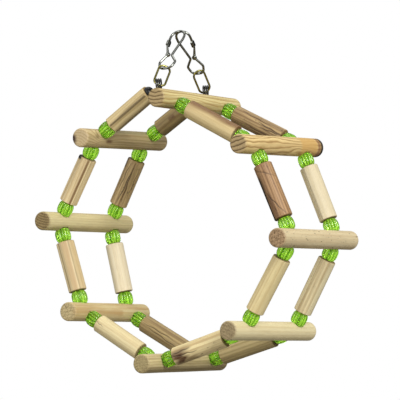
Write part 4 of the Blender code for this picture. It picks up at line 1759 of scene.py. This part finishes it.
    def _gate_path(self) -> Array:
        """Work out the gate's centre line: out of the pad, down both legs and across inside the nose.

        Returns:
            Points of the hook's own frame.
        """
        floor = -self.half_width - self.nose_depth / 2 + self.nose_wall
        leg = self.pad_half + GAP + self.gate_wire
        tip_side = floor + GAP + self.gate_wire
        tip_drop = self.nose_top + self.nose_web + GAP + self.gate_wire
        foot_drop = self.nose_tip + 2 * self.gate_wire
        half = [
            (self.pivot_side, GAP, -self.pivot_drop),
            (self.pivot_side, leg, -self.pivot_drop),
            (tip_side, self.gate_tip_half, -foot_drop),
            (tip_side, self.gate_tip_half, -tip_drop),
        ]
        corners = np.array([(x, -y, z) for x, y, z in half] + half[::-1])
        radii = np.array([0.0, 0.0009, 0.003, 0.0007, 0.0007, 0.003, 0.0009, 0.0])
        return spaced(rounded_path(corners, radii, step=9.0), spacing=0.001)

    def _link_path(self) -> Array:
        """Work out the link's centre line, hung in the eye and turned about the hook's length.

        Returns:
            Points of the hook's own frame.
        """
        half = self.link_width / 2 - self.link_wire
        fall = self.link_length - 2 * self.link_wire
        corners = np.array([(-half, 0, 0), (half, 0, 0), (half, 0, -fall), (-half, 0, -fall)], float)
        flat = rounded_path(corners, np.full(4, self.link_corner), closed=True)
        return flat @ turn_z(self.link_turn).T - np.array((0.0, 0.0, self.link_drop))

    def build(self, side: Side, steel: bpy.types.Material, brass: bpy.types.Material) -> None:
        """Make one side's hook, gate and link.

        Args:
            side: Which side.
            steel: Finish of the hook and its gate.
            brass: Finish of the link.
        """
        label = side.label
        hook = tube(spaced(self._hook_path(), spacing=0.0015), self.wire, Y_AXIS, columns=24)
        parts = (
            (f"{label}_hook_wire", hook, "hooks", f"{label}_hook", 38.0),
            (f"{label}_hook_nose", self._nose(), "hooks", f"{label}_hook", 30.0),
            (f"{label}_hook_pad", self._pad(), "hooks", f"{label}_hook", 38.0),
        )
        for name, grid, body, node, sharp in parts:
            surface = Surface(name, self._placed(side, grid), sharp=sharp)
            surface.build(steel, body, "plated_steel", (node,))
        path = self._gate_path()
        lie = unit(np.cross(Y_AXIS, path[len(path) // 2] - path[0]))
        gate = tube(path, self.gate_wire, lie, columns=16)
        Surface(f"{label}_gate_wire", self._placed(side, gate)).build(
            steel, f"{label}_hook_gate", "plated_steel", (f"{label}_gate",)
        )
        facing = turn_z(self.link_turn) @ Y_AXIS
        link = tube(self._link_path(), self.link_wire, facing, closed=True, columns=20)
        Surface(f"{label}_link_wire", self._placed(side, link), True).build(
            brass, f"{label}_swing_link", "brassy_steel", (f"{label}_link",)
        )


def level_square(height: float, half: float) -> Array:
    """Work out the corners of a level square about the Z axis, from its height and half its width."""
    return np.array([(x * half, y * half, height) for x, y in ((-1, -1), (1, -1), (1, 1), (-1, 1))])


@dataclass
class Studio:
    """White surroundings, soft lamps and the camera.

    Attributes:
        yaw: Degrees by which the camera looks to the wheel's left.
        pitch: Degrees by which it looks down, below 0 where it looks up.
        roll: Degrees by which it is rolled.
        distance: Distance from the wheel's centre.
        lens: Focal length in mm on a 36 mm sensor.
        shift: Shift of the sensor along X and Y.
    """

    yaw: float = 29.35
    pitch: float = -2.85
    roll: float = -2.4
    distance: float = 2.46
    lens: float = 234.0
    shift: tuple[float, float] = (0.01925, 0.07875)

    def camera(self) -> None:
        """Place the camera so that its axis passes through the wheel's centre."""
        a, e, r = (math.radians(value) for value in (self.yaw, self.pitch, self.roll))
        look = np.array((-math.sin(a) * math.cos(e), math.cos(a) * math.cos(e), -math.sin(e)))
        level = np.array((math.cos(a), math.sin(a), 0.0))
        upright = np.cross(level, look)
        right = level * math.cos(r) + upright * math.sin(r)
        top = upright * math.cos(r) - level * math.sin(r)
        data = bpy.data.cameras.new("camera")
        data.lens = self.lens
        data.sensor_width = 36.0
        data.shift_x, data.shift_y = self.shift
        data.clip_end = 50.0
        item = add_object("camera", data)
        place = WHEEL_CENTRE - look * self.distance
        item.matrix_world = Matrix(
            [[right[k], top[k], -look[k], place[k]] for k in range(3)] + [[0.0, 0.0, 0.0, 1.0]]
        )
        bpy.context.scene.camera = item

    def lamp(self, name: str, place: tuple[float, float, float], size: float, power: float) -> None:
        """Add a soft square lamp that faces the wheel.

        Args:
            name: Name of the lamp.
            place: Where it stands.
            size: Side of the square in metres.
            power: Its power in watts.
        """
        data = bpy.data.lights.new(name, "AREA")
        data.shape = "SQUARE"
        data.size = size
        data.energy = power
        item = add_object(name, data)
        item.location = place
        item.rotation_euler = (Vector(WHEEL_CENTRE) - Vector(place)).to_track_quat("-Z", "Y").to_euler()

    def felt(self, name: str, corners: Array) -> None:
        """Hang a dark sheet that only gloss shows, so that wires get dark lines.

        Args:
            name: Name of the sheet.
            corners: Its four corners.
        """
        mesh = bpy.data.meshes.new(name)
        mesh.from_pydata(corners.tolist(), [], [(0, 1, 2, 3)])
        item = add_object(name, mesh)
        material = bpy.data.materials.get("flag_felt") or bpy.data.materials.new("flag_felt")
        material.use_nodes = True
        shader = material.node_tree.nodes["Principled BSDF"]
        shader.inputs["Base Color"].default_value = linear((26, 26, 24))
        shader.inputs["Roughness"].default_value = 1.0
        mesh.materials.append(material)
        for ray in ("camera", "diffuse", "transmission", "volume_scatter", "shadow"):
            setattr(item, f"visible_{ray}", False)

    def flag(
        self, name: str, bearing: float, width: float, low: float, high: float, away: float = 4.6
    ) -> None:
        """Stand a dark sheet upright out of view.

        Args:
            name: Name of the sheet.
            bearing: Degrees round Z from +X at which it stands.
            width: Its width in metres.
            low: Height of its lower edge.
            high: Height of its upper edge.
            away: Its distance from the middle.
        """
        out = np.array((math.cos(math.radians(bearing)), math.sin(math.radians(bearing)), 0.0))
        along = np.array((-out[1], out[0], 0.0)) * width / 2
        low_edge, high_edge = out * away + (0.0, 0.0, low), out * away + (0.0, 0.0, high)
        self.felt(name, np.array([low_edge - along, low_edge + along, high_edge + along, high_edge - along]))

    def cover(self, name: str, height: float, half: float) -> None:
        """Hang a dark sheet level over or under the wheel, from its height and half its width."""
        self.felt(name, level_square(height, half))

    def surroundings(self, ambient: float) -> None:
        """Make the world: white to the eye, to gloss and through plastic, and a dimmer fill to the rest.

        Args:
            ambient: Strength of the fill.
        """
        world = bpy.data.worlds.new("studio")
        world.use_nodes = True
        bpy.context.scene.world = world
        g = Graph(world.node_tree)
        paths = g.node("ShaderNodeLightPath")
        seen = g.maths("ADD", paths.outputs["Is Camera Ray"], paths.outputs["Is Glossy Ray"], True)
        seen = g.maths("ADD", seen, paths.outputs["Is Transmission Ray"], True)
        strength = g.line(seen, 1.0 - ambient, ambient)
        background = world.node_tree.nodes["Background"]
        background.inputs["Color"].default_value = (1.0, 1.0, 1.0, 1.0)
        g.put(background.inputs["Strength"], strength)

    def floor(self, height: float, reach: float) -> None:
        """Lay a pale, slightly mottled floor well below the wheel, that throws little light back.

        Args:
            height: Its height.
            reach: Half its width.
        """
        mesh = bpy.data.meshes.new("floor")
        mesh.from_pydata(level_square(height, reach).tolist(), [], [(0, 1, 2, 3)])
        item = add_object("floor", mesh)
        material, g, shader = start_material("floor_paper")
        place = g.node("ShaderNodeTexCoord").outputs["Object"]
        mottle = g.noise(place, scale=30.0).outputs["Fac"]
        tone = g.mix(mottle, linear((244, 244, 244)), linear((250, 250, 250)))
        bounce = g.node("ShaderNodeLightPath").outputs["Is Diffuse Ray"]
        g.put(shader.inputs["Base Color"], g.mix(bounce, tone, linear((150, 147, 140))))
        shader.inputs["Roughness"].default_value = 0.9
        mesh.materials.append(material)

    def build(self) -> None:
        """Set up the whole studio."""
        bpy.context.scene.view_settings.view_transform = "Standard"
        self.camera()
        self.surroundings(ambient=0.55)
        self.lamp("key", (1.80, -1.25, 0.80), size=1.0, power=42.0)
        self.lamp("fill", (-0.8, -2.3, 0.4), size=1.2, power=13.0)
        self.lamp("top", (-0.3, 0.5, 1.7), size=0.9, power=6.0)
        for bearing in (16.0, 56.0, 96.0, 136.0, 176.0, 214.0, 268.0, 318.0):
            self.flag(f"flag_{bearing:.0f}", bearing, width=2.9, low=-2.2, high=4.2)
        self.cover("flag_over", height=4.3, half=2.2)
        self.cover("flag_under", height=-1.05, half=2.6)
        self.floor(height=-1.1, reach=6.0)


def main() -> None:
    """Build every sub-assembly in order."""
    logging.basicConfig(level=logging.INFO, format="%(name)s: %(message)s")
    Studio().build()
    layout = WheelLayout()
    shop = WoodShop()
    lime = PlasticFinish((206, 254, 90), (98, 178, 18), clear=0.80, roughness=0.08).make("lime_plastic")
    black = PlasticFinish((10, 10, 10), (18, 18, 18), clear=0.0, roughness=0.35).make("black_stopper")
    steel = MetalFinish((160, 162, 154), roughness=0.12, film=0.60).make("plated_steel")
    brass = MetalFinish((176, 168, 96), roughness=0.14, film=0.50).make("brassy_steel")
    # a darker copy of the plated steel for the hoops: painted shade that makes the coils read dark, with more
    # dull film
    wire = MetalFinish((112, 112, 110), roughness=0.14, film=0.80).make("shaded_dull_wire")
    Perches(layout, shop).build()
    Strings(layout, shop, lime).build()
    for side in Side:
        Hoop(layout).build(side, wire, black)
        Hanger().build(side, steel, brass)


if __name__ == "__main__":
    main()
